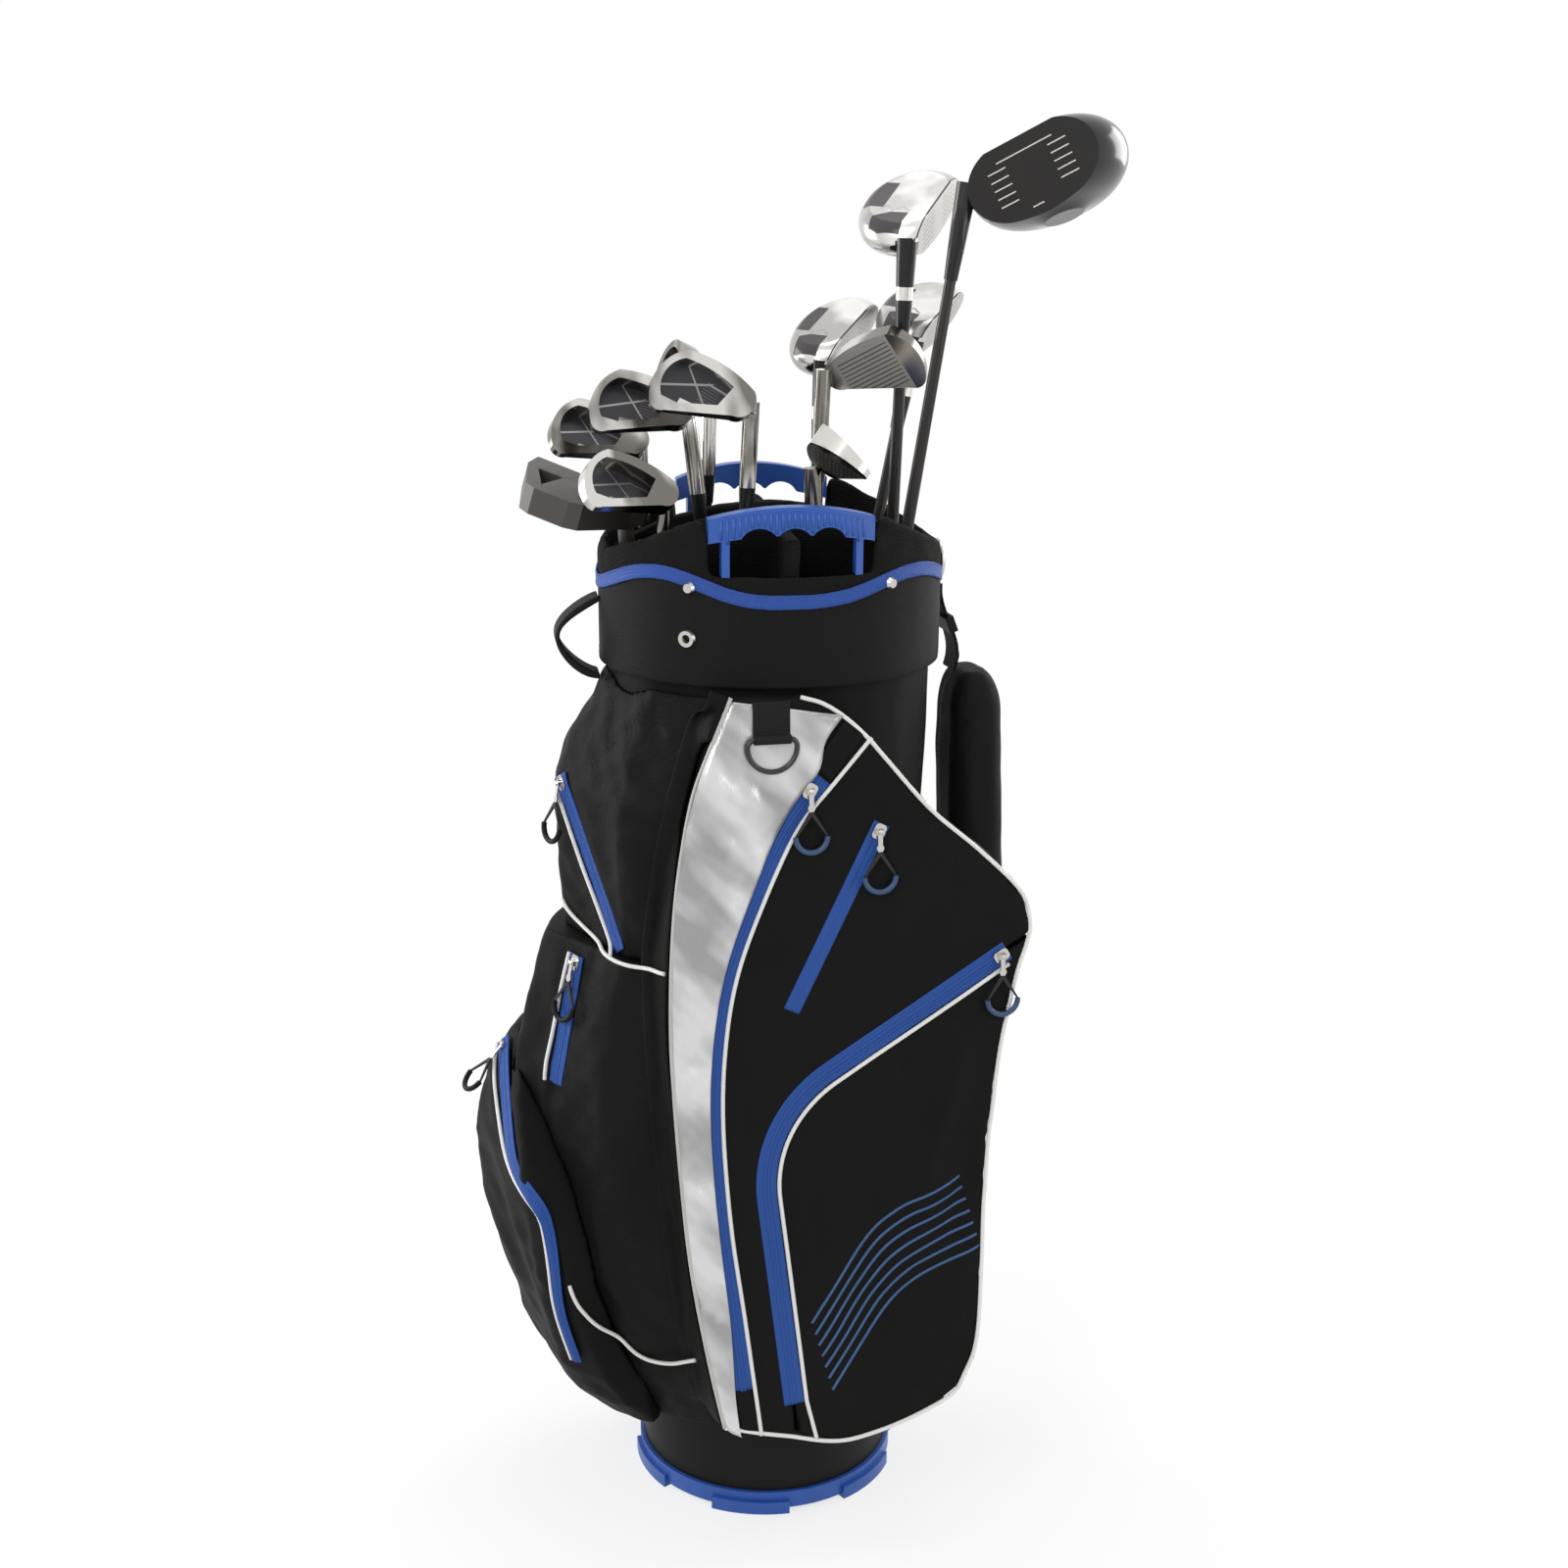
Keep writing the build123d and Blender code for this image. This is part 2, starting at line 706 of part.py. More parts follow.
with BuildPart() as upper_left_pocket:
    add(left_loft(upper_levels, left_turns, upper_fullness))
    add(clear_core, mode=Mode.SUBTRACT)
    add(front_clear, mode=Mode.SUBTRACT)
    add(upper_zip.channel(), mode=Mode.SUBTRACT)
save(upper_left_pocket.part, "upper_left_pocket")

with BuildPart() as middle_left_pocket:
    add(left_loft(middle_levels, left_turns, middle_fullness))
    add(clear_core, mode=Mode.SUBTRACT)
    add(front_clear, mode=Mode.SUBTRACT)
    add(middle_zip.channel(), mode=Mode.SUBTRACT)
    add(low_zip.channel(), mode=Mode.SUBTRACT)
save(middle_left_pocket.part, "middle_left_pocket")

# The lower pocket lies on the middle one; its front edge sweeps forward as it goes down
low_pocket_turn = -78.0
low_pocket_edge = ((-70, 440), (4, 392), (58, 334), (77, 284), (80, 220), (84, 150), (88, 80))

with BuildPart() as lower_left_pocket:
    add(left_loft(lower_levels, lower_turns, lower_fullness))
    radial = Vector(sin(radians(low_pocket_turn)), -cos(radians(low_pocket_turn)), 0)
    view = Plane(origin=radial * 20, x_dir=Vector(-radial.Y, radial.X, 0), z_dir=radial)
    with BuildSketch(view):
        with BuildLine():
            edge = Spline(low_pocket_edge)
            Polyline(edge @ 1, (-320, low_pocket_edge[-1][1]), (-320, low_pocket_edge[0][1]), edge @ 0)
        make_face()
    extrude(amount=400, mode=Mode.INTERSECT)
    add(clear_core, mode=Mode.SUBTRACT)
    add(middle_clear, mode=Mode.SUBTRACT)
    add(low_zip.channel(), mode=Mode.SUBTRACT)
save(lower_left_pocket.part, "lower_left_pocket")

left_zips = Compound(children=[zip_line.tape() for zip_line in (upper_zip, middle_zip, low_zip)])
save(left_zips, "left_zips")

# Zip sliders and their pulls. Each stands on a plane with z out of the tape and -y the way the pull hangs

slider_width = 9.5
slider_length = 13.0
slider_plate = 2.2
slider_gap = 0.3
pin_radius = 0.9
pin_clearance = 0.25
pin_height = 4.9
eye_radius = 2.1
eye_width = 3.8
ear_width = 1.2
pull_tab_length = 15.0
pull_tab_width = 6.0
cord_width = 1.6
cord_length = 20.0
finger_radius = 13.0
finger_wire = 2.3


def zip_slider(name, plane, lean):
    base = tape_thickness + slider_gap
    with BuildPart() as slider:
        with BuildSketch(Plane.XY.offset(base)):
            with Locations(Location((0, 0), lean)):
                RectangleRounded(slider_width, slider_length, slider_width / 3)
        extrude(amount=slider_plate)
        ear_place = eye_width / 2 + pin_clearance + ear_width / 2
        with BuildSketch(Plane.XY.offset(base + slider_plate)):
            with Locations((-ear_place, 0), (ear_place, 0)):
                Rectangle(ear_width, 2 * eye_radius)
        extrude(amount=base + pin_height - base + pin_radius + 0.4 - slider_plate)
        with BuildSketch(Plane.YZ.offset(-ear_place)):
            with Locations((0, base + pin_height)):
                Circle(pin_radius)
        extrude(amount=2 * ear_place)
    save(plane.location * slider.part, name)


def zip_pull(name, plane, swing):
    axis_height = tape_thickness + slider_gap + pin_height
    with BuildPart() as pull:
        with BuildSketch(Plane.YZ.offset(-eye_width / 2)):
            with Locations((0, axis_height)):
                Circle(eye_radius)
        extrude(amount=eye_width)
        with BuildSketch(Plane.XY.offset(axis_height - 0.7)):
            with Locations((0, -pull_tab_length / 2 - 1)):
                Rectangle(eye_width, pull_tab_length)
            with Locations((0, -pull_tab_length + 2)):
                Circle(pull_tab_width / 2)
        extrude(amount=1.4)
        with BuildSketch(Plane.YZ.offset(-eye_width)):
            with Locations((0, axis_height)):
                Circle(pin_radius + pin_clearance)
        extrude(amount=2 * eye_width, mode=Mode.SUBTRACT)
    apex = -pull_tab_length - 1.2
    with BuildPart() as cord:
        with BuildSketch(Plane.XY.offset(axis_height - cord_width / 2)):
            half = cord_width / 2
            Polygon(
                (-cord_width, apex),
                (-finger_radius - half, apex - cord_length),
                (-finger_radius + half, apex - cord_length),
                (0, apex - 2 * cord_width),
                (finger_radius - half, apex - cord_length),
                (finger_radius + half, apex - cord_length),
                (cord_width, apex),
                align=None,
            )
        extrude(amount=cord_width)
    with BuildPart() as finger:
        with BuildSketch(Plane.XZ.offset(-apex + cord_length + fit)):
            with Locations((finger_radius, axis_height)):
                Circle(finger_wire)
        revolve(axis=Axis((0, apex - cord_length - fit, axis_height), (0, 0, 1)), revolution_arc=-180)
    swung = Location((0, 0, axis_height)) * Location((0, 0, 0), (-swing, 0, 0)) * Location((0, 0, -axis_height))
    parts = [plane.location * swung * piece for piece in (pull.part, cord.part, finger.part)]
    save(Compound(children=parts), name)


def hanging_plane(spot, outwards):
    """The plane at a slider: z out of the tape, y as upright as the tape allows."""
    across = Vector(0, 0, 1).cross(outwards).normalized()
    return Plane(origin=spot, x_dir=across, z_dir=outwards)


def on_front(place):
    return hanging_plane(face.from_local_coords(Vector(*place, tape_gap)), face_normal)


def on_side(zip_line):
    height = tape_gap - tape_thickness
    spot = zip_line.plane.from_local_coords(Vector(zip_line.length / 2 - slider_length / 2, 0, height))
    return hanging_plane(spot, zip_line.plane.z_dir)


def lean_of(plane, direction):
    return degrees(atan2(direction.dot(plane.y_dir), direction.dot(plane.x_dir))) - 90


def inset(ends, distance):
    start, end = Vector(*ends[0]), Vector(*ends[1])
    return tuple(start + (end - start).normalized() * distance)[:2]


long_place = inset((long_zip_ends[0], (-4, 271)), slider_length / 2)
valuables_place = inset(valuables_ends, slider_length / 2)
lower_place = inset((lower_zip_start, lower_zip_corner), slider_length / 2)

# name: the slider's plane, its lean from upright, how far its pull swings out at rest
slider_planes = {
    "long_zip": (on_front(long_place), -32, 0),
    "valuables_zip": (on_front(valuables_place), -27, 0),
    "ball_zip": (on_front(lower_place), -59, 0),
    "upper_left_zip": (on_side(upper_zip), None, 12),
    "middle_left_zip": (on_side(middle_zip), None, 4),
    "lower_left_zip": (on_side(low_zip), None, 26),
}
side_zips = {"upper_left_zip": upper_zip, "middle_left_zip": middle_zip, "lower_left_zip": low_zip}

for zip_name, (plane, lean, swing) in slider_planes.items():
    if lean is None:
        lean = lean_of(plane, side_zips[zip_name].plane.x_dir)
    zip_slider(f"{zip_name}_slider", plane, lean)
    zip_pull(f"{zip_name}_pull", plane, swing)

# Towel loop and its D-ring on the front pocket

towel_across = -30.0
towel_width = 30.0
towel_top = 352.0
towel_bottom = 322.0
towel_webbing = 1.6
ring_wire_radius = 2.1
ring_half_width = 20.0
ring_drop = 26.0
barrel_wall = 1.6
barrel_bore = ring_wire_radius + 0.3
barrel_radius = barrel_bore + barrel_wall
barrel_lift = tape_gap + barrel_radius

with BuildPart() as towel_loop:
    with BuildSketch(face.offset(tape_gap)):
        with Locations((towel_across, (towel_top + towel_bottom) / 2)):
            Rectangle(towel_width, towel_top - towel_bottom)
    extrude(amount=towel_webbing)
    barrel_plane = Plane(
        origin=face.from_local_coords(Vector(towel_across - towel_width / 2, towel_bottom, barrel_lift)),
        x_dir=face.y_dir,
        z_dir=face.x_dir,
    )
    with BuildSketch(barrel_plane):
        Circle(barrel_radius)
    extrude(amount=towel_width)
    with BuildSketch(barrel_plane.offset(-1)):
        Circle(barrel_bore)
    extrude(amount=towel_width + 2, mode=Mode.SUBTRACT)
save(towel_loop.part, "towel_loop")

ring_plane = Plane(
    origin=face.from_local_coords(Vector(towel_across, towel_bottom, barrel_lift)),
    x_dir=face.x_dir,
    z_dir=face.z_dir,
)

with BuildPart() as towel_ring:
    shoulder = ring_half_width - 6
    with BuildLine(ring_plane):
        bar = Line((0, 0), (shoulder, 0))
        corner = RadiusArc(bar @ 1, (ring_half_width, -6), 6)
        bow = ThreePointArc((ring_half_width, -6), (0, -ring_drop), (-ring_half_width, -6))
        corner_two = RadiusArc((-ring_half_width, -6), (-shoulder, 0), 6)
        Line((-shoulder, 0), (0, 0))
    with BuildSketch(Plane(origin=ring_plane.origin, x_dir=ring_plane.y_dir, z_dir=ring_plane.x_dir)):
        Circle(ring_wire_radius)
    sweep(transition=Transition.RIGHT)
save(towel_ring.part, "towel_ring")

# Clubs. Each is built along its own shaft, from the butt at its origin up to the head

# name: where the shaft's axis crosses the rim's height, and the cup's floor; toe direction in plan, degrees from +X
rim_height = 860.0
club_places = {
    "driver": ((107, -38), (-28, -57), -40),
    "fairway_wood": ((105, 5), (81, 13), 50),
    "long_hybrid": ((101, 46), (-66, 12), 52),
    "short_hybrid": ((47.5, 60.5), (4, 67), 45),
    "four_iron": ((40, 7), (8, 10), -33),
    "sand_wedge": ((30, -39.5), (60.5, -6.5), -100),
    "six_iron": ((-27, -41.5), (-67, -43), 172),
    "seven_iron": ((-56, 4.5), (35, -21.5), 176),
    "five_iron": ((-47, 49.5), (-74.5, 55), 100),
    "gap_wedge": ((-91.5, -41.5), (-89, -26), 190),
    "pitching_wedge": ((-101.5, 48), (-88, 30), 182),
    "putter": ((-119, 2), (-93, 2), 152),
}
club_lengths = {
    "driver": 1148,
    "fairway_wood": 1092,
    "long_hybrid": 1026,
    "short_hybrid": 990,
    "four_iron": 981,
    "five_iron": 958,
    "six_iron": 961,
    "seven_iron": 953,
    "pitching_wedge": 915,
    "gap_wedge": 885,
    "sand_wedge": 908,
    "putter": 875,
}
# lie of the shaft over the ground, loft of the face, both in degrees
club_angles = {
    "driver": (57, 10.5),
    "fairway_wood": (57, 15),
    "long_hybrid": (58, 19),
    "short_hybrid": (58, 22),
    "four_iron": (60.5, 23),
    "five_iron": (61, 26),
    "six_iron": (61.5, 29),
    "seven_iron": (62, 33),
    "pitching_wedge": (63.5, 45),
    "gap_wedge": (63.5, 50),
    "sand_wedge": (64, 55),
    "putter": (71, 3.5),
}
# the rise through a wood head, and its outline's share there
crown_shares = ((0.0, 0.72), (0.16, 0.92), (0.42, 1.0), (0.68, 0.9), (0.88, 0.62), (1.0, 0.25))
wood_wall = 2.2
# woods: head length heel to toe, depth front to back, height, hosel top along the shaft, and how far
# the face lies ahead of the shaft as a share of the depth
wood_sizes = {
    "driver": (128, 122, 64, 64, 0.11),
    "fairway_wood": (100, 78, 40, 66, 0.15),
    "long_hybrid": (96, 66, 38, 66, 0.15),
    "short_hybrid": (96, 66, 38, 66, 0.15),
}
blade_length = 78.0
blade_toe_height = 56.0
blade_heel_height = 30.0
blade_top_thickness = 5.5
blade_sole_thickness = 19.0
blade_rim = 5.5
blade_face_thickness = 3.5
hosel_radius = 6.7
iron_hosel_top = 74.0
tip_radius = 4.5
putter_hosel_top = 62.0
putter_height = 22.0
putter_width = 104.0
putter_depth = 84.0
putter_heel = 18.0          # the shaft stands this far in from the heel end


def club_plane(name):
    """The club's plane: origin at the butt, z up the shaft, x towards the toe."""
    rim, butt, toe = club_places[name]
    lean = Vector(rim[0] - butt[0], rim[1] - butt[1], rim_height - cup_floor)
    axis = lean.normalized()
    tilt_of_club = hypot(lean.X, lean.Y) / lean.length
    lift = soft_gap + grip_butt * tilt_of_club
    base = Vector(butt[0], butt[1], cup_floor) + axis * (lift / axis.Z)
    towards = Vector(cos(radians(toe)), sin(radians(toe)), 0)
    return Plane(origin=base, x_dir=towards - axis * towards.dot(axis), z_dir=axis)


def address_plane(name):
    """The head's own plane: origin where the shaft meets the ground, x back from the face, y to the toe, z up."""
    lie = radians(club_angles[name][0])
    toe_way = Vector(sin(lie), 0, cos(lie))
    crown_way = Vector(cos(lie), 0, -sin(lie))
    return Plane(origin=(0, 0, club_lengths[name]), x_dir=toe_way.cross(crown_way), z_dir=crown_way)


def shaft_way(name):
    """The shaft's direction out of the head, in the head's own frame."""
    lie = radians(club_angles[name][0])
    return Plane(origin=(0, 0, 0), x_dir=(1, 0, 0), z_dir=(0, -cos(lie), sin(lie)))


def hosel_top_of(name):
    if name in wood_sizes:
        return wood_sizes[name][3]
    return putter_hosel_top if name == "putter" else iron_hosel_top


def club_shaft(name):
    """Grip, shaft and ferrule, three solids on one axis."""
    shaft_end = club_lengths[name] - hosel_top_of(name) + bore_depth - fit
    ferrule_base = club_lengths[name] - hosel_top_of(name) - ferrule_length - fit
    length = shaft_end - grip_cap - fit
    with BuildPart() as sleeves:
        Cone(grip_butt, grip_mouth, grip_length, align=(Align.CENTER, Align.CENTER, Align.MIN))
        with Locations((0, 0, ferrule_base)):
            Cone(tip_radius + 1, hosel_radius, ferrule_length, align=(Align.CENTER, Align.CENTER, Align.MIN))
        with Locations((0, 0, grip_cap)):
            Cone(
                shaft_butt + fit,
                tip_radius + fit,
                length + fit,
                align=(Align.CENTER, Align.CENTER, Align.MIN),
                mode=Mode.SUBTRACT,
            )
    with BuildPart() as shaft:
        with Locations((0, 0, grip_cap + fit)):
            Cone(shaft_butt, tip_radius, length, align=(Align.CENTER, Align.CENTER, Align.MIN))
    place = club_plane(name).location
    solids = [place * piece for piece in (*sleeves.part.solids(), shaft.part)]
    save(Compound(children=solids), f"{name}_shaft")


def wood_head(name):
    length, depth, height, hosel_top, face_share = wood_sizes[name]
    loft_angle = radians(club_angles[name][1])
    face_place = -face_share * depth
    shells = []
    for wall in (0, wood_wall):
        with BuildPart() as shell:
            for level, share in crown_shares:
                with BuildSketch(Plane.XY.offset(wall + level * (height - 2 * wall))):
                    with Locations((depth * 0.2, length * 0.5 - 14)):
                        Ellipse(depth * 0.58 * share - wall, length * 0.5 * share - wall)
            loft()
            split(
                bisect_by=Plane(
                    origin=(face_place + wall, 0, 0),
                    x_dir=(0, 1, 0),
                    z_dir=(cos(loft_angle), 0, -sin(loft_angle)),
                ),
                keep=Keep.TOP,
            )
        shells.append(shell.part)
    with BuildPart() as head:
        add(shells[0])
        add(shells[1], mode=Mode.SUBTRACT)
        with BuildSketch(shaft_way(name).offset(12)):
            Circle(hosel_radius + 2)
        with BuildSketch(shaft_way(name).offset(hosel_top)):
            Circle(hosel_radius)
        loft()
        with BuildSketch(shaft_way(name).offset(hosel_top - bore_depth)):
            Circle(tip_radius + fit + 0.3)
        extrude(amount=bore_depth, mode=Mode.SUBTRACT)
    return head.part


def iron_head(name):
    loft_angle = radians(club_angles[name][1])
    leading_edge = -4.0
    blade = Plane(origin=(leading_edge, 0, 0), x_dir=(0, 1, 0), z_dir=(cos(loft_angle), 0, -sin(loft_angle)))
    toe = blade_length - 4
    wedge_lean = degrees(atan2(blade_sole_thickness - blade_top_thickness, blade_toe_height))
    with BuildPart() as head:
        with BuildSketch(blade):
            with BuildLine():
                sole = ThreePointArc((0, 5), (toe * 0.4, 0), (toe * 0.82, 4))
                tip = ThreePointArc(sole @ 1, (toe, blade_toe_height * 0.45), (toe * 0.93, blade_toe_height * 0.93))
                crest = ThreePointArc(tip @ 1, (toe * 0.86, blade_toe_height), (toe * 0.74, blade_toe_height * 0.96))
                top = Line(crest @ 1, (6, blade_heel_height))
                heel = ThreePointArc(top @ 1, (-6, 18), sole @ 0)
            make_face()
        extrude(amount=blade_sole_thickness)
        back = Plane(
            origin=blade.from_local_coords(Vector(0, 0, blade_sole_thickness)),
            x_dir=(0, 1, 0),
            z_dir=blade.z_dir.rotate(Axis.Y, -wedge_lean),
        )
        split(bisect_by=back, keep=Keep.BOTTOM)
        with BuildSketch(blade.offset(blade_face_thickness)):
            with BuildLine():
                rim = blade_rim
                floor_line = ThreePointArc((16, 5 + rim), (toe * 0.4, 3 + rim), (toe * 0.8, 5 + rim))
                wall = ThreePointArc(floor_line @ 1, (toe - rim, 26), (toe * 0.84, blade_toe_height * 0.8))
                Polyline(wall @ 1, (toe * 0.66, blade_toe_height * 0.78), (20, blade_heel_height - 1), floor_line @ 0)
            make_face()
        extrude(amount=blade_sole_thickness, mode=Mode.SUBTRACT)
        with BuildSketch(shaft_way(name).offset(6)):
            Circle(hosel_radius)
        extrude(amount=iron_hosel_top - 6)
        with BuildSketch(shaft_way(name).offset(iron_hosel_top - bore_depth)):
            Circle(tip_radius + fit + 0.3)
        extrude(amount=bore_depth, mode=Mode.SUBTRACT)
    return head.part


def putter_head(name):
    half = putter_width / 2
    middle = half - putter_heel
    front = -12.0
    with BuildPart() as head:
        with BuildSketch(Plane.XY):
            with BuildLine():
                Polyline(
                    (front, middle - half),
                    (front, middle + half),
                    (front + 26, middle + half - 3),
                    (front + putter_depth - 6, middle + half * 0.5),
                    (front + putter_depth, middle + half * 0.3),
                    (front + putter_depth, middle - half * 0.3),
                    (front + putter_depth - 6, middle - half * 0.5),
                    (front + 26, middle - half + 3),
                    close=True,
                )
            make_face()
            for side in (-1, 1):
                with BuildLine():
                    Polyline(
                        (front + 30, middle + side * half * 0.72),
                        (front + 30, middle + side * half * 0.28),
                        (front + putter_depth - 16, middle + side * half * 0.32),
                        close=True,
                    )
                make_face(mode=Mode.SUBTRACT)
        extrude(amount=putter_height)
        with BuildSketch(shaft_way(name).offset(10)):
            Circle(hosel_radius)
        extrude(amount=putter_hosel_top - 10)
        with BuildSketch(shaft_way(name).offset(putter_hosel_top - bore_depth)):
            Circle(tip_radius + fit + 0.3)
        extrude(amount=bore_depth, mode=Mode.SUBTRACT)
    return head.part


for club_name in club_places:
    if club_name in wood_sizes:
        club_head = wood_head(club_name)
    elif club_name == "putter":
        club_head = putter_head(club_name)
    else:
        club_head = iron_head(club_name)
    in_place = club_plane(club_name).location * address_plane(club_name).location
    save(in_place * club_head, f"{club_name}_head")
    club_shaft(club_name)
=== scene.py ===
import json
from math import cos, hypot, pi, radians, sin

import bmesh
import bpy
import numpy as np
from mathutils import Matrix, Vector
from mathutils.bvhtree import BVHTree


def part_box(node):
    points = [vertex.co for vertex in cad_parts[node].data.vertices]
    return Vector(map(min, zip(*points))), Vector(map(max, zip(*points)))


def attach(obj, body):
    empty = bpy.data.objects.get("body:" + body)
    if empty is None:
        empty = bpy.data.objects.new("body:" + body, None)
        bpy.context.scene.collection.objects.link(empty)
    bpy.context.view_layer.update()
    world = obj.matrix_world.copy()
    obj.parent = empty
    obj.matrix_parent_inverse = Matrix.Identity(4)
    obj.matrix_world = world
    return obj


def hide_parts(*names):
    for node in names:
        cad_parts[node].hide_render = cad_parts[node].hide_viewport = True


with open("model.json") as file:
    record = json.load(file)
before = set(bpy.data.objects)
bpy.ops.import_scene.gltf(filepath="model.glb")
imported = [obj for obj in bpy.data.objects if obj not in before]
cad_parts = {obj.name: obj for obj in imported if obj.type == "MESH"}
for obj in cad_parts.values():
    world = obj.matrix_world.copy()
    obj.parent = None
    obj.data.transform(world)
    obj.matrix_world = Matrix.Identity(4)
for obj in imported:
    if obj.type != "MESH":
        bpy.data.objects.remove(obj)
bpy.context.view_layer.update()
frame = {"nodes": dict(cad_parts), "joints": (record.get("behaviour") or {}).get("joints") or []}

mm = 0.001
nodes = frame["nodes"]
scene = bpy.context.scene


# meshes and lines

def build(name, verts, faces, finish, body="bag", stands=(), slot=None, smooth=True):
    mesh = bpy.data.meshes.new(name)
    mesh.from_pydata([tuple(v) for v in verts], [], faces)
    sound = bmesh.new()
    sound.from_mesh(mesh)
    bmesh.ops.recalc_face_normals(sound, faces=sound.faces)
    sound.to_mesh(mesh)
    sound.free()
    mesh.update()
    for face in mesh.polygons:
        face.use_smooth = smooth
    return place(bpy.data.objects.new(name, mesh), finish, body, stands, slot)


def place(piece, finish, body="bag", stands=(), slot=None):
    if piece.name not in scene.collection.objects:
        scene.collection.objects.link(piece)
    piece.data.materials.clear()
    piece.data.materials.append(finish)
    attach(piece, body)
    if stands:
        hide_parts(*stands)
    return piece


def readMesh(mesh):
    points = np.empty(len(mesh.vertices) * 3)
    mesh.vertices.foreach_get("co", points)
    normals = np.empty(len(mesh.vertices) * 3)
    mesh.vertices.foreach_get("normal", normals)
    return points.reshape(-1, 3), normals.reshape(-1, 3)


def writeMesh(mesh, points):
    mesh.vertices.foreach_set("co", np.asarray(points, float).ravel())
    mesh.update()


def softCopy(node, name, grain, rounds=6):
    # the solid's own form, remeshed with softened edges
    piece = bpy.data.objects.new(name, nodes[node].data.copy())
    scene.collection.objects.link(piece)
    remesh = piece.modifiers.new("remesh", "REMESH")
    remesh.mode = "VOXEL"
    remesh.voxel_size = grain
    soften = piece.modifiers.new("soften", "SMOOTH")
    soften.iterations = rounds
    soften.factor = 0.5
    depsgraph = bpy.context.evaluated_depsgraph_get()
    mesh = bpy.data.meshes.new_from_object(piece.evaluated_get(depsgraph))
    piece.modifiers.clear()
    piece.data = mesh
    for face in mesh.polygons:
        face.use_smooth = True
    return piece


def loosePieces(node):
    # the separate solids of one node, largest first
    mesh = nodes[node].data
    points = np.array([v.co for v in mesh.vertices])
    keys = {}
    same = np.array([keys.setdefault(tuple(np.round(p, 6)), i) for i, p in enumerate(points)])
    parent = list(range(len(points)))

    def root(i):
        while parent[i] != i:
            parent[i] = parent[parent[i]]
            i = parent[i]
        return i
    for face in mesh.polygons:
        first = root(same[face.vertices[0]])
        for v in face.vertices[1:]:
            parent[root(same[v])] = first
    groups = {}
    for face in mesh.polygons:
        groups.setdefault(root(same[face.vertices[0]]), []).append([int(same[v]) for v in face.vertices])
    pieces = []
    for faces in groups.values():
        used = sorted({v for face in faces for v in face})
        index = {v: i for i, v in enumerate(used)}
        pieces.append((points[used], [[index[v] for v in face] for face in faces]))
    pieces.sort(key=lambda item: -float(np.prod(item[0].max(0) - item[0].min(0) + 1e-4)))
    return pieces


def through(points, count=60):
    # an even smooth line through the given points
    points = np.asarray(points, float)
    if len(points) == 2:
        steps = np.linspace(0, 1, count)[:, None]
        return points[0] * (1 - steps) + points[1] * steps
    padded = np.vstack([2 * points[0] - points[1], points, 2 * points[-1] - points[-2]])
    line = []
    for i in range(1, len(padded) - 2):
        a, b, c, d = padded[i - 1:i + 3]
        for t in np.linspace(0, 1, 16, endpoint=False):
            square, cube = 2 * a - 5 * b + 4 * c - d, 3 * b - a - 3 * c + d
            line.append(0.5 * (2 * b + (c - a) * t + square * t ** 2 + cube * t ** 3))
    line.append(padded[-2])
    line = np.array(line)
    reach = np.r_[0, np.cumsum(np.linalg.norm(np.diff(line, axis=0), axis=1))]
    even = np.linspace(0, reach[-1], count)
    return np.stack([np.interp(even, reach, line[:, k]) for k in range(line.shape[1])], 1)


def ringFaces(base, count, around, closed=False):
    # the quads between rings of vertices that lie one after another
    faces = []
    for i in range(count if closed else count - 1):
        low, high = base + i * around, base + (i + 1) % count * around
        for k in range(around):
            m = (k + 1) % around
            faces.append([low + k, low + m, high + m, high + k])
    return faces


def ringEnds(base, count, around):
    return [[base + k for k in range(around)], [base + (count - 1) * around + k for k in reversed(range(around))]]


def sweep(name, line, ups, profile, finish, body="bag", stands=(), slot=None, closed=False, widths=None):
    # a profile of (across, out) in metres carried along a line whose outward directions are ups
    widths = np.ones(len(line)) if widths is None else widths
    line, ups = np.asarray(line, float), np.asarray(ups, float)
    if closed:
        ways = np.roll(line, -1, 0) - np.roll(line, 1, 0)
    else:
        ways = np.gradient(line, axis=0)
    ways /= np.linalg.norm(ways, axis=1)[:, None]
    acrosses = np.cross(ways, ups)
    acrosses /= np.linalg.norm(acrosses, axis=1)[:, None]
    outs = np.cross(acrosses, ways)
    verts = []
    for point, across, out, share in zip(line, acrosses, outs, widths):
        verts += [point + across * a * share + out * b for a, b in profile]
    faces = ringFaces(0, len(line), len(profile), closed)
    if not closed:
        faces += ringEnds(0, len(line), len(profile))
    return build(name, verts, faces, finish, body, stands, slot)


def shell(name, outer, inner, finish, stands=(), slot=None, closed=False):
    # a cloth wall between two grids of points; closed joins the last row to the first
    rows, columns = outer.shape[:2]
    count = rows * columns
    verts = np.vstack([outer.reshape(-1, 3), inner.reshape(-1, 3)])
    faces = []
    last = columns - 1
    for i in range(rows if closed else rows - 1):
        j = (i + 1) % rows
        for k in range(last):
            a, b, c, d = i * columns + k, j * columns + k, j * columns + k + 1, i * columns + k + 1
            faces.append([a, b, c, d])
            faces.append([count + d, count + c, count + b, count + a])
        for k in (0, last):
            faces.append([i * columns + k, j * columns + k, count + j * columns + k, count + i * columns + k])
    if not closed:
        for i in (0, rows - 1):
            for k in range(last):
                a = i * columns + k
                faces.append([a, a + 1, count + a + 1, count + a])
    return build(name, verts, faces, finish, "bag", stands, slot)


def roundSection(radius, sides=10):
    return [(radius * cos(2 * pi * k / sides), radius * sin(2 * pi * k / sides)) for k in range(sides)]


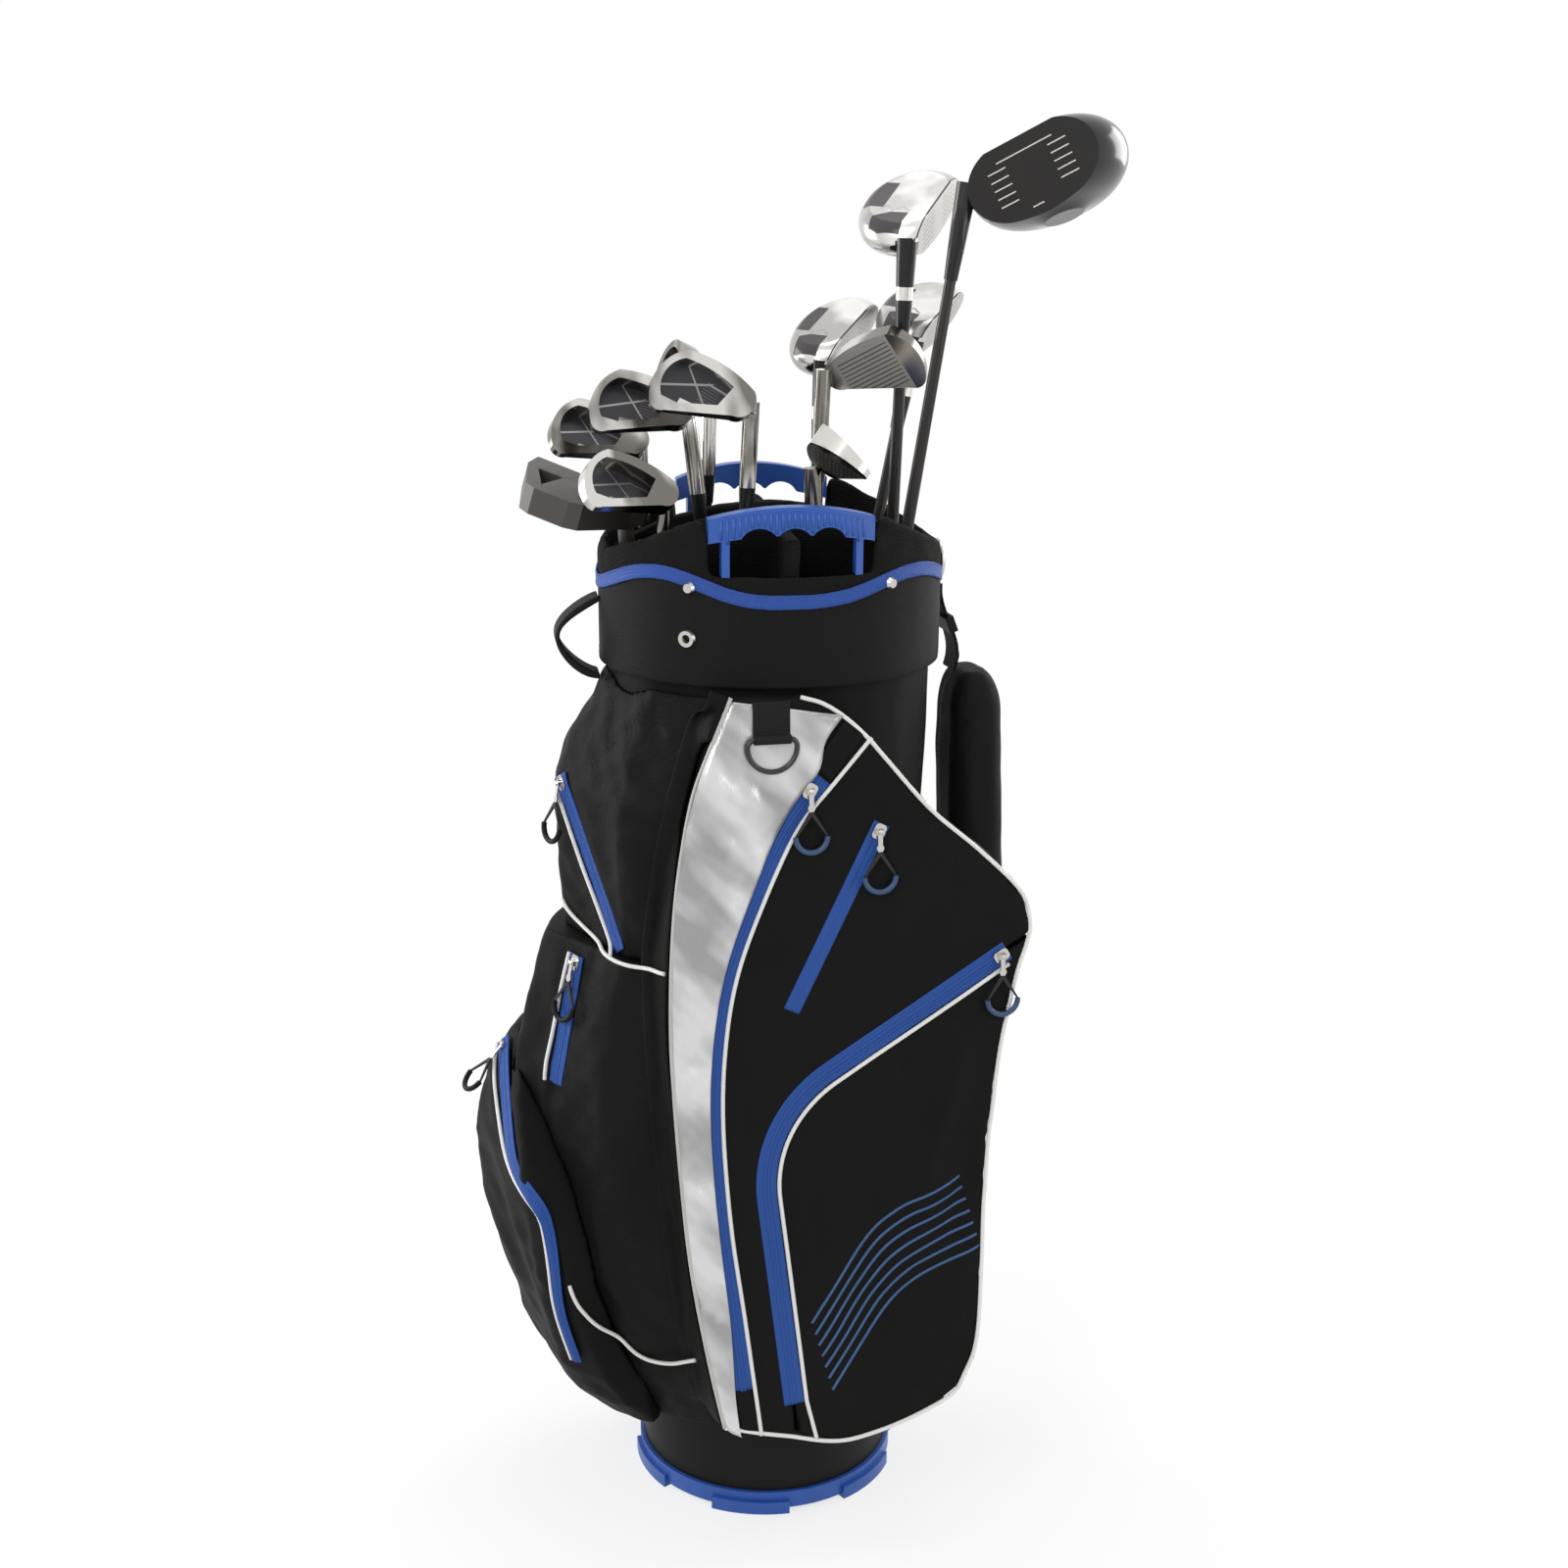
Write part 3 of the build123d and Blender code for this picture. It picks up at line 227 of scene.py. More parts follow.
def drift(points, wavelength, seed, waves=9):
    # a smooth random field, about -1 to 1
    rng = np.random.default_rng(seed)
    total = np.zeros(len(points))
    for _ in range(waves):
        way = rng.normal(size=points.shape[1])
        way *= rng.uniform(0.7, 1.5) / np.linalg.norm(way) / wavelength
        total += np.sin(2 * pi * points @ way + rng.uniform(0, 2 * pi))
    return total / waves ** 0.5


def creased(points, creases):
    # each crease runs from one place to another: (start, end, width, height)
    total = np.zeros(len(points))
    for start, end, width, height in creases:
        start, end = np.array(start, float), np.array(end, float)
        run = end - start
        share = (points - start) @ run / (run @ run)
        away = np.linalg.norm(points - start - np.clip(share, 0, 1)[:, None] * run, axis=1)
        taper = np.clip(4 * share * (1 - share), 0, 1) ** 0.5
        total += height * taper * np.exp(-(away / width) ** 2)
    return total


# finishes

class Value:
    # one shader value, so that maths on it reads as maths
    def __init__(self, finish, socket):
        self.finish, self.socket = finish, socket

    def maths(self, operation, first, second=0.0):
        return self.finish.add("ShaderNodeMath", {"operation": operation}, {0: first, 1: second})

    def __add__(self, other):
        return self.maths("ADD", self, other)

    def __sub__(self, other):
        return self.maths("SUBTRACT", self, other)

    def __rsub__(self, other):
        return self.maths("SUBTRACT", other, self)

    def __mul__(self, other):
        return self.maths("MULTIPLY", self, other)

    def __truediv__(self, other):
        return self.maths("DIVIDE", self, other)

    def __rtruediv__(self, other):
        return self.maths("DIVIDE", other, self)

    def __abs__(self):
        return self.maths("ABSOLUTE", self)

    def __gt__(self, other):
        return self.maths("GREATER_THAN", self, other)

    def __lt__(self, other):
        return self.maths("LESS_THAN", self, other)

    def __and__(self, other):
        return self.maths("MINIMUM", self, other)

    def __or__(self, other):
        return self.maths("MAXIMUM", self, other)

    __radd__, __rmul__ = __add__, __mul__

    def near(self, place, half):
        return abs(self - place) < half

    def rows(self, pitch, half):
        # lines that repeat at a pitch
        return abs(self.maths("FRACT", self / pitch) - 0.5) < half / pitch


class Wiring:
    # the nodes of one material or world
    def __init__(self, owner):
        owner.use_nodes = True
        self.tree = owner.node_tree

    def add(self, kind, settings=None, values=None, out=0):
        node = self.tree.nodes.new(kind)
        for key, value in (settings or {}).items():
            if key == "stops":
                for stop, (position, colour) in zip(node.color_ramp.elements, value):
                    stop.position = position
                    stop.color = colour
            else:
                setattr(node, key, value)
        for key, value in (values or {}).items():
            if isinstance(value, Value):
                self.tree.links.new(value.socket, node.inputs[key])
            else:
                node.inputs[key].default_value = value
        return Value(self, node.outputs[out])


class Finish(Wiring):
    def __init__(self, name, colour, roughness=0.5, metallic=0.0, **fixed):
        self.material = bpy.data.materials.new(name)
        super().__init__(self.material)
        self.shader = self.tree.nodes["Principled BSDF"]
        self.put("Base Color", (*colour, 1))
        self.put("Roughness", roughness)
        self.put("Metallic", metallic)
        for key, value in fixed.items():
            self.put(key.replace("_", " "), value)
        self.where = self.add("ShaderNodeTexCoord", out="Object")

    def put(self, key, value):
        if isinstance(value, Value):
            self.tree.links.new(value.socket, self.shader.inputs[key])
        else:
            self.shader.inputs[key].default_value = value

    def along(self, vector, axis):
        values = {0: vector, 1: tuple(axis)}
        return self.add("ShaderNodeVectorMath", {"operation": "DOT_PRODUCT"}, values, out="Value")

    def measured(self, origin, axes):
        # distances from the origin along each axis, in millimetres
        return [(self.along(self.where, axis) - float(np.dot(origin, axis))) * 1000 for axis in axes]

    def facing(self, axis):
        # how far the surface turns towards a direction, -1 to 1
        return self.along(self.add("ShaderNodeTexCoord", out="Normal"), axis)

    def noise(self, scale, detail=2.0, stretch=(1, 1, 1), turn=(0, 0, 0)):
        # turned first, then stretched
        spot = self.add("ShaderNodeMapping", {}, {"Vector": self.where, "Rotation": turn})
        spot = self.add("ShaderNodeMapping", {}, {"Vector": spot, "Scale": stretch})
        return self.add("ShaderNodeTexNoise", {}, {"Vector": spot, "Scale": scale, "Detail": detail})

    def bands(self, axis, pitch, bend=0.0):
        settings = {"wave_type": "BANDS", "bands_direction": axis}
        values = {"Vector": self.where, "Scale": 2 * pi / (20 * pitch), "Distortion": bend}
        return self.add("ShaderNodeTexWave", settings, values, out="Fac")

    def blend(self, mask, first, second):
        pair = [(*c, 1) if isinstance(c, tuple) else c for c in (first, second)]
        return self.add("ShaderNodeMix", {"data_type": "RGBA"}, {0: mask, 6: pair[0], 7: pair[1]}, out=2)

    def bump(self, height, depth, strength=1.0):
        values = {"Height": height, "Distance": depth, "Strength": strength}
        self.put("Normal", self.add("ShaderNodeBump", {}, values))


def wovenCloth(name, dark, light, roughness, pitch, depth, **fixed):
    cloth = Finish(name, dark, roughness, **fixed)
    patches = cloth.noise(9, 3)
    cloth.put("Base Color", cloth.blend(patches, dark, light))
    cloth.put("Roughness", patches * 0.14 + (roughness - 0.07))
    weave = cloth.bands("Z", pitch) * 0.5 + cloth.bands("DIAGONAL", pitch) * 0.5
    cloth.bump(weave + cloth.noise(420, 2) * 0.8 + cloth.noise(60, 3) * 1.2, depth)
    return cloth.material


def satinCloth():
    satin = Finish("silverSatin", (0.62, 0.62, 0.63), 0.33, 0.6, Sheen_Weight=0.2)
    threads = satin.noise(900, 2, (1, 1, 0.08))
    folds = satin.noise(30, 2, (1, 1, 0.3), (0, 0.75, 0))
    # painted shade and highlight: the silver runs dark and light along the slanted fold pattern, which also gives the
    # bump
    satin.put("Base Color", satin.blend((folds - 0.38) * 4, (0.33, 0.33, 0.335), (0.66, 0.66, 0.665)))
    satin.put("Roughness", threads * 0.14 + 0.24)
    satin.bump(threads * 0.12 + folds * 3.0, 0.0016)
    return satin.material


def mouldedPlastic(name, colour, roughness, depth=0.00008, **fixed):
    plastic = Finish(name, colour, roughness, **fixed)
    cloud = plastic.noise(30, 3)
    deep = tuple(c * 0.82 for c in colour)
    plastic.put("Base Color", plastic.blend(cloud, deep, colour))
    plastic.put("Roughness", cloud * 0.12 + (roughness - 0.06))
    plastic.bump(plastic.noise(1500, 2), depth)
    return plastic.material


def polishedMetal(name, colour, roughness, wear=0.12):
    metal = Finish(name, colour, roughness, 1.0)
    smudge = metal.noise(45, 4)
    metal.put("Base Color", metal.blend(smudge, tuple(c * 0.86 for c in colour), colour))
    metal.put("Roughness", smudge * wear + roughness)
    metal.bump(metal.noise(260, 3), 0.00003)
    return metal.material


def lacquer(name, colour, roughness, coat):
    paint = Finish(name, colour, roughness, 0.0, Coat_Weight=coat, Coat_Roughness=0.06)
    flake = paint.noise(1800, 1)
    paint.put("Base Color", paint.blend(flake, colour, tuple(c * 1.35 + 0.002 for c in colour)))
    paint.put("Roughness", paint.noise(25, 3) * 0.12 + roughness)
    return paint.material


blackCloth = wovenCloth(
    "blackCloth", (0.0050, 0.0048, 0.0046), (0.0080, 0.0076, 0.0074), 0.56, 0.0011, 0.00022, Specular_IOR_Level=0.07)
cuffCloth = wovenCloth(
    "cuffCloth", (0.0060, 0.0057, 0.0055), (0.0090, 0.0086, 0.0083), 0.6, 0.0009, 0.00025, Specular_IOR_Level=0.1)
fleece = wovenCloth(
    "rimFleece", (0.0050, 0.0048, 0.0046), (0.0095, 0.0090, 0.0086), 0.88, 0.0022, 0.0006, Specular_IOR_Level=0.12)
blackWebbing = wovenCloth(
    "blackWebbing", (0.0055, 0.0054, 0.0054), (0.0105, 0.0100, 0.0098), 0.7, 0.0016, 0.0005, Specular_IOR_Level=0.2)
blueTape = wovenCloth(
    "blueTape", (0.012, 0.055, 0.24), (0.020, 0.080, 0.33), 0.5, 0.0010, 0.0002, Specular_IOR_Level=0.25)
blueTrim = wovenCloth(
    "blueTrim", (0.018, 0.060, 0.28), (0.026, 0.085, 0.37), 0.52, 0.0014, 0.0004, Specular_IOR_Level=0.25)
stripeThread = wovenCloth("stripeThread", (0.022, 0.075, 0.19), (0.032, 0.105, 0.26), 0.6, 0.0008, 0.0002)
stitchThread = wovenCloth("stitchThread", (0.035, 0.055, 0.13), (0.06, 0.085, 0.19), 0.6, 0.0006, 0.0001)
whitePiping = wovenCloth("whitePiping", (0.66, 0.655, 0.63), (0.80, 0.795, 0.77), 0.5, 0.0012, 0.0002)
greyPiping = wovenCloth("greyPiping", (0.40, 0.395, 0.37), (0.52, 0.51, 0.48), 0.45, 0.0012, 0.0002)
silverSatin = satinCloth()
blackPlastic = mouldedPlastic("blackPlastic", (0.0065, 0.0063, 0.0062), 0.5, Specular_IOR_Level=0.14)
bluePlastic = mouldedPlastic("bluePlastic", (0.018, 0.090, 0.40), 0.38)
blueFinger = mouldedPlastic("blueFinger", (0.022, 0.060, 0.135), 0.4)
cordBlack = mouldedPlastic("cordBlack", (0.006, 0.006, 0.006), 0.7)
nickel = polishedMetal("nickel", (0.62, 0.60, 0.56), 0.16)
blackRing = lacquer("blackRing", (0.006, 0.006, 0.006), 0.3, 0.2)
print("finishes made")


# the front panel's own frame: across, up and outwards, in millimetres

panel = {"turn": 4.0, "lean": 4.5, "distance": 165.0, "height": 400.0}
turn, lean = radians(panel["turn"]), radians(panel["lean"])
panelAcross = np.array([cos(turn), sin(turn), 0])
panelOut = np.array([sin(turn) * cos(lean), -cos(turn) * cos(lean), sin(lean)])
panelUp = np.cross(panelOut, panelAcross)
panelOrigin = np.array([panel["distance"] * sin(turn), -panel["distance"] * cos(turn), panel["height"]]) * mm
panelReach = 70          # millimetres in front of the panel from which its skin is looked for
bagReach = 0.45          # metres from the bag's axis from which its side is looked for


def toPanel(points):
    away = (np.asarray(points) - panelOrigin) / mm
    return np.stack([away @ panelAcross, away @ panelUp, away @ panelOut], 1)


def fromPanel(across, up, out=0.0):
    return panelOrigin + (panelAcross * across + panelUp * up + panelOut * out) * mm


def toSide(points):
    # turn about the bag's axis in degrees from the front, and height in millimetres
    points = np.asarray(points)
    return np.stack([np.degrees(np.arctan2(points[:, 0], -points[:, 1])), points[:, 2] / mm], 1)


def outwards(side):
    # away from the bag's axis, for a turn in degrees from the front
    return np.array([sin(radians(side)), -cos(radians(side)), 0])


class Skin:
    # the surfaces that trims are sewn to
    def __init__(self, pieces):
        verts, faces = [], []
        for piece in pieces:
            base = len(verts)
            verts += [v.co.copy() for v in piece.data.vertices]
            faces += [[base + v for v in face.vertices] for face in piece.data.polygons]
        self.tree = BVHTree.FromPolygons(verts, faces)

    def hit(self, start, way, lift):
        spot, normal, _, _ = self.tree.ray_cast(Vector(start), Vector(way))
        if spot is None:
            return None, None
        normal = np.array(normal)
        if normal @ np.asarray(way) > 0:
            normal = -normal
        return np.array(spot) - np.asarray(way) * lift * mm, normal

    def onPanel(self, across, up, lift=0.0):
        spot, normal = self.hit(fromPanel(across, up, panelReach), -panelOut, lift)
        if spot is None:
            return fromPanel(across, up, lift), panelOut
        return spot, normal

    def aroundBag(self, side, height, lift=0.0):
        out = outwards(side)
        spot, normal = self.hit(out * bagReach + np.array([0, 0, height * mm]), -out, lift)
        if spot is not None and spot @ out < 0:            # the far wall, seen over the near one
            return None, None
        return spot, normal

    def panelLine(self, points, lift, count=80):
        pairs = [self.onPanel(*p, lift) for p in through(points, count)]
        return np.array([p for p, _ in pairs]), evened([n for _, n in pairs])


def evened(rows, rounds=6):
    # rows averaged with their neighbours, the ends kept
    rows = np.array(rows, float)
    for _ in range(rounds):
        rows[1:-1] = (rows[:-2] + 2 * rows[1:-1] + rows[2:]) / 4
    return rows


# seam lines, in the panel's millimetres or in degrees and height round the bag

def acrossWays(line):
    # to the left of a flat line, at each of its points
    ways = np.gradient(line, axis=0)
    ways /= np.linalg.norm(ways, axis=1)[:, None]
    return np.stack([-ways[:, 1], ways[:, 0]], 1)


def offsetLine(points, amount, count=80):
    # a copy of a flat line moved sideways, to its left when amount is positive
    line = through(points, count)
    return line + acrossWays(line) * amount


def bent(start, corner, end, radius, count=100):
    # two straight runs joined by an arc
    start, corner, end = (np.array(p, float) for p in (start, corner, end))
    one, two = start - corner, end - corner
    one, two = one / np.linalg.norm(one), two / np.linalg.norm(two)
    half = np.arccos(one @ two) / 2
    cut = radius / np.tan(half)
    middle = corner + (one + two) / np.linalg.norm(one + two) * radius / sin(half)
    first, last = corner + one * cut - middle, corner + two * cut - middle
    sweepAngle = pi - 2 * half
    spin = 1 if first[0] * last[1] - first[1] * last[0] > 0 else -1
    arc = [middle + np.array([first[0] * cos(t) - first[1] * sin(t), first[0] * sin(t) + first[1] * cos(t)])
           for t in np.linspace(0, spin * sweepAngle, 24)]
    before, after = np.linspace(start, arc[0], 12, endpoint=False), np.linspace(arc[-1], end, 12)[1:]
    return through(np.vstack([before, arc, after]), count)


valuablesZip = through([(60, 248), (-16, 97)], 40)
lowerZip = bent((167, 134), (-46, 6), (-17, -248), 110)
outline = [
    (-62, 356), (-89, 289), (-104, 227), (-112, 163), (-115, 82), (-111, -18), (-103, -113), (-90, -197), (-77, -262),
]
bottomEdge = [
    (-77, -262), (-26, -276), (34, -287), (112, -262), (133, -236), (144, -195), (148, -79), (160, 41), (175, 110),
    (184, 138), (187, 157), (179, 183), (143, 220), (101, 257), (64, 300), (48, 319), (30, 336), (12, 348), (-6, 354),
]
longPiping = [
    (51, 319), (20, 283), (-11, 245), (-41, 182), (-61, 127), (-71, 70), (-74, 4), (-69, -82), (-58, -170), (-46, -272),
]
pipingLine = through(longPiping, 120)
longZip = offsetLine([tuple(p) for p in pipingLine[::6]], -9.6, 110)
longZip = longZip[(longZip[:, 1] < 291) & (longZip[:, 1] > -233)]

# left zips run on from their straight tapes
leftTapes = []
for verts, faces in loosePieces("left_zips"):
    middle = (verts.max(0) + verts.min(0)) / 2
    axes = np.linalg.svd(verts - verts.mean(0))[2]
    reach = (verts - middle) @ axes[0]
    way = axes[0] if axes[0][2] > 0 else -axes[0]
    out = axes[2] * np.sign(axes[2] @ (middle * np.array([1, 1, 0])))
    middle = verts.mean(0)
    leftTapes.append((middle + way * reach.max(), middle - way * reach.max(), out, way))
leftTapes.sort(key=lambda item: -item[0][2])
leftZipRuns = {
    "upper": [],
    "middle": [(-69, 352)],
    "lower": [(-61, 318), (-59.5, 286), (-59.5, 255), (-60, 222), (-59, 163)],
}
leftZips = {}
for label, (top, bottom, out, way) in zip(("upper", "middle", "lower"), leftTapes):
    straight = toSide([top + (bottom - top) * t for t in np.linspace(0, 1, 8)])
    leftZips[label] = np.array(list(map(tuple, straight)) + leftZipRuns[label])
leftZips["middle"] = leftZips["middle"][leftZips["middle"][:, 1] > 392]
sidePipes = {
    "middle_top": [(-84, 552), (-78, 543), (-70, 536), (-60, 529), (-48, 527), (-35, 532)],
    "middle_foot": [(-57, 243), (-55.5, 220), (-52.5, 195), (-46, 175), (-36, 173), (-28, 185)],
}
arcLength = 3.4          # millimetres round the bag for each degree, near the pockets
sideScale = np.array([arcLength, 1])


def calm(flat, lines, quiet, free):
    # 0 on the seams, 1 away from them
    nearest = np.full(len(flat), 1e9)
    for line in lines:
        for a, b in zip(line[:-1], line[1:]):
            run = b - a
            share = np.clip((flat - a) @ run / (run @ run + 1e-9), 0, 1)
            nearest = np.minimum(nearest, np.linalg.norm(flat - a - share[:, None] * run, axis=1))
    return np.clip((nearest - quiet) / (free - quiet), 0, 1)


# creases: from one place to another across and up the panel, then width and height, all in millimetres
pocketSkins = {
    "front_pocket": {
        "grain": 3.4, "puff": 3.0,
        "creases": [
            ((96, 225), (30, 90), 15, 1.7), ((150, 205), (95, 120), 13, 1.8), ((60, 60), (-20, -60), 18, 1.6),
            ((20, 160), (-30, 40), 10, -1.3), ((-40, -30), (-30, -190), 9, 1.6), ((125, 175), (170, 150), 8, -1.4),
            ((-62, 60), (-52, -40), 7, -1.2), ((-36, -80), (-20, -230), 8, -1.2), ((80, 245), (120, 215), 7, 1.2),
        ],
    },
    "ball_pocket": {
        "grain": 3.4, "puff": 4.5,
        "creases": [
            ((132, 66), (88, -82), 12, 5.0), ((112, -50), (84, -130), 15, 3.4), ((140, -20), (116, -120), 9, -3.0),
            ((30, 20), (10, -130), 20, 1.4), ((60, -150), (20, -240), 20, -1.5), ((146, -90), (118, -210), 10, 1.7),
            ((100, 20), (60, 60), 10, -1.5), ((64, -20), (74, -150), 12, 1.2), ((0, -60), (6, -200), 9, -1.2),
        ],
    },
}
tabLine = np.array([(-30.0, 318.0), (-30.0, 362.0)])       # under the towel ring's tab


def isFront(normals):
    facing = normals @ panelOut
    return np.clip((facing - 0.55) / 0.35, 0, 1)


def dressFrontPocket(node):
    wants = pocketSkins[node]
    piece = softCopy(node, node + "_cloth", wants["grain"] * mm, 5)
    points, normals = readMesh(piece.data)
    local = toPanel(points)
    flat = local[:, :2]
    front = isFront(normals)
    low, high = local.min(0), local.max(0)
    middle = (low + high) / 2
    reach = np.abs((flat - middle[:2]) / ((high - low)[:2] / 2))
    swell = np.clip(1 - (reach ** 3).sum(1) ** (1 / 1.5), 0, 1) ** 0.5
    lift = wants["puff"] * swell * front
    lift += front * creased(flat, wants["creases"])
    lift += drift(local, 95, 4) * 0.9 * front + drift(local, 38, 9) * 0.35
    lift += (1 - front) * (drift(local * np.array([1, 0.35, 1]), 60, 12) * 1.3)
    still = calm(flat, [longZip, valuablesZip, lowerZip], 9, 24) * calm(flat, [tabLine], 18, 34)
    lift = np.where(front > 0.2, lift * (0.12 + 0.88 * still), lift)
    writeMesh(piece.data, points + normals * lift[:, None] * mm)
    return place(piece, blackCloth, "bag", (node,), "pocket_cloth")


# creases: from one place to another in degrees and height, then width and height in millimetres
sideSkins = {
    "upper_left_pocket": {
        "grain": 2.2,
        "creases": [
            ((-76, 700), (-50, 736), 5, 2.4), ((-70, 676), (-40, 716), 6, 1.8), ((-50, 640), (-38, 560), 6, 1.6),
            ((-84, 640), (-74, 560), 5, 1.5), ((-30, 700), (-36, 580), 7, -1.5), ((-64, 700), (-50, 660), 5, -1.6),
        ],
    },
    "middle_left_pocket": {
        "grain": 2.2,
        "creases": [
            ((-60, 470), (-44, 330), 7, 2.2), ((-52, 300), (-46, 200), 7, 2.2), ((-40, 500), (-30, 380), 7, -1.6),
            ((-86, 470), (-80, 400), 5, 1.8), ((-36, 300), (-30, 190), 6, 1.5), ((-58, 250), (-50, 210), 5, -1.6),
        ],
    },
    "lower_left_pocket": {
        "grain": 2.2,
        "creases": [
            ((-84, 330), (-68, 230), 6, 2.6), ((-90, 270), (-76, 180), 6, 2.4), ((-70, 290), (-64, 190), 4, -2.0),
            ((-96, 330), (-92, 230), 7, 2.0), ((-66, 160), (-58, 120), 6, 1.6), ((-100, 220), (-86, 140), 6, -1.8),
        ],
    },
}


def dressSidePocket(node, seed):
    wants = sideSkins[node]
    piece = softCopy(node, node + "_cloth", wants["grain"] * mm, 16)
    points, normals = readMesh(piece.data)
    out = points * np.array([1, 1, 0])
    out /= np.linalg.norm(out, axis=1)[:, None]
    facing = np.clip(((normals * out).sum(1) - 0.2) / 0.5, 0, 1)
    flat = toSide(points) * np.array([3.2, 1.0])       # degrees to about millimetres round the bag
    creases = [((a * 3.2, b), (c * 3.2, d), w * 2.2, h) for (a, b), (c, d), w, h in wants["creases"]]
    lift = facing * creased(flat, creases)
    lift += facing * (drift(flat * np.array([1, 0.45]), 70, seed) * 1.3 + drift(flat, 30, seed + 1) * 0.45)
    seams = [line * sideScale for line in leftZips.values()]
    lift *= 0.12 + 0.88 * calm(toSide(points) * sideScale, seams, 9, 22)
    writeMesh(piece.data, points + normals * lift[:, None] * mm)
    return place(piece, blackCloth, "bag", (node,), "pocket_cloth")


frontCloth = dressFrontPocket("front_pocket")
ballCloth = dressFrontPocket("ball_pocket")
upperCloth = dressSidePocket("upper_left_pocket", 21)
middleCloth = dressSidePocket("middle_left_pocket", 31)
lowerCloth = dressSidePocket("lower_left_pocket", 41)
frontSkin = Skin([frontCloth, ballCloth])
sideSkin = Skin([upperCloth, middleCloth, lowerCloth])
print("pockets dressed")


def envelope(heights, rounds):
    # a smooth line over the highest of each height's neighbours, with gaps filled
    heights = np.array(heights, float)
    known = ~np.isnan(heights)
    heights = np.interp(np.arange(len(heights)), np.flatnonzero(known), heights[known])
    padded = np.pad(heights, 2, mode="edge")
    return evened(np.max([padded[k:k + len(heights)] for k in range(5)], axis=0), rounds)


def layPanel(line, half, lift, rounds=10):
    # a line on the front panel, just clear of the cloth across its width
    line = np.asarray(line, float)
    sides = acrossWays(line)
    tops = []
    for k in np.linspace(-half, half, 5):
        tops.append(toPanel([frontSkin.onPanel(*spot)[0] for spot in line + sides * k])[:, 2])
    tops = envelope(np.max(tops, axis=0), rounds)
    spots = np.array([fromPanel(u, v, top + lift) for (u, v), top in zip(line, tops)])
    return spots, np.tile(panelOut, (len(line), 1))


def laySide(line, half, lift, rounds=8):
    # the same round the bag's side, for a line in degrees and height
    line = np.asarray(line, float)
    sides = acrossWays(line * sideScale) / sideScale
    reach, normals = [], []
    for spot, side in zip(line, sides):
        hits = [sideSkin.aroundBag(*(spot + side * k)) for k in np.linspace(-half, half, 5)]
        found = [(hypot(p[0], p[1]), n) for p, n in hits if p is not None]
        reach.append(max(r for r, _ in found) if found else np.nan)
        normals.append(sum(n for _, n in found) if found else normals[-1] if normals else np.array([0, -1.0, 0]))
    reach = evened(envelope(reach, 6), rounds) + lift * mm
    turns = np.radians(line[:, 0])
    spots = np.stack([np.sin(turns) * reach, -np.cos(turns) * reach, line[:, 1] * mm], 1)
    ups = evened(normals, 14)
    return spots, ups / np.linalg.norm(ups, axis=1)[:, None]


def bandAround(name, node, low, high, steps, turns, finish, wrinkle, seed, slot, edgeOf=None, wall=2.6):
    # a cloth wall round the bag, laid on the solid's outside
    skin = Skin([nodes[node]])
    rows = []
    for i in range(turns):
        side = 360 * i / turns - 180
        bottom, top = edgeOf(side) if edgeOf else (low, high)
        rows.append([skin.aroundBag(side, height, 0)[0] for height in np.linspace(bottom, top, steps)])
    grid = np.array(rows)
    flat = toSide(grid.reshape(-1, 3)) * np.array([2.3, 1.0])
    around = np.stack([grid[..., 0].ravel() / mm, grid[..., 1].ravel() / mm, flat[:, 1] * 0.5], 1)
    share = np.tile(np.linspace(0, 1, steps), turns)
    free = np.clip(np.minimum(share, 1 - share) * 8, 0, 1)
    lift = free * (drift(around, 80, seed) * wrinkle + drift(around, 33, seed + 1) * wrinkle * 0.35)
    outs = grid.reshape(-1, 3) * np.array([1, 1, 0])
    outs /= np.linalg.norm(outs, axis=1)[:, None]
    outer = grid.reshape(-1, 3) + outs * (lift[:, None] - 0.1) * mm
    inner = grid.reshape(-1, 3) - outs * wall * mm
    return shell(name, outer.reshape(grid.shape), inner.reshape(grid.shape), finish, (node,), slot, closed=True)


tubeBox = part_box("bag_tube")
tubeFoot, tubeHead = tubeBox[0].z / mm + 0.6, tubeBox[1].z / mm - 0.6
bandAround("tube_cloth", "bag_tube", tubeFoot, tubeHead, 150, 150, blackCloth, 0.9, 51, "bag_cloth")


def edgesOf(node, low, high):
    # lowest and highest height at which the solid is met, for any turn about the axis
    skin = Skin([nodes[node]])

    def edge(side):
        heights = [h for h in np.arange(low, high, 0.5) if skin.aroundBag(side, h)[0] is not None]
        return heights[0] + 0.3, heights[-1] - 0.3
    return edge


cuffBox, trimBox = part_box("cuff_band"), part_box("trim_band")
cuffEdge = edgesOf("cuff_band", cuffBox[0].z / mm, cuffBox[1].z / mm + 1)
cuffCover = bandAround("cuff_cloth", "cuff_band", 0, 0, 40, 180, cuffCloth, 0.35, 61, "bag_cloth", cuffEdge, 1.6)
trimEdge = edgesOf("trim_band", trimBox[0].z / mm, trimBox[1].z / mm + 1)
trimSkin = Skin([nodes["trim_band"]])


def ringLine(skin, heights, lift, count=200):
    line, ups = [], []
    for i in range(count):
        side = 360 * i / count - 180
        spot, _ = skin.aroundBag(side, heights(side), lift)
        line.append(spot)
        ups.append(outwards(side))
    return np.array(line), np.array(ups)


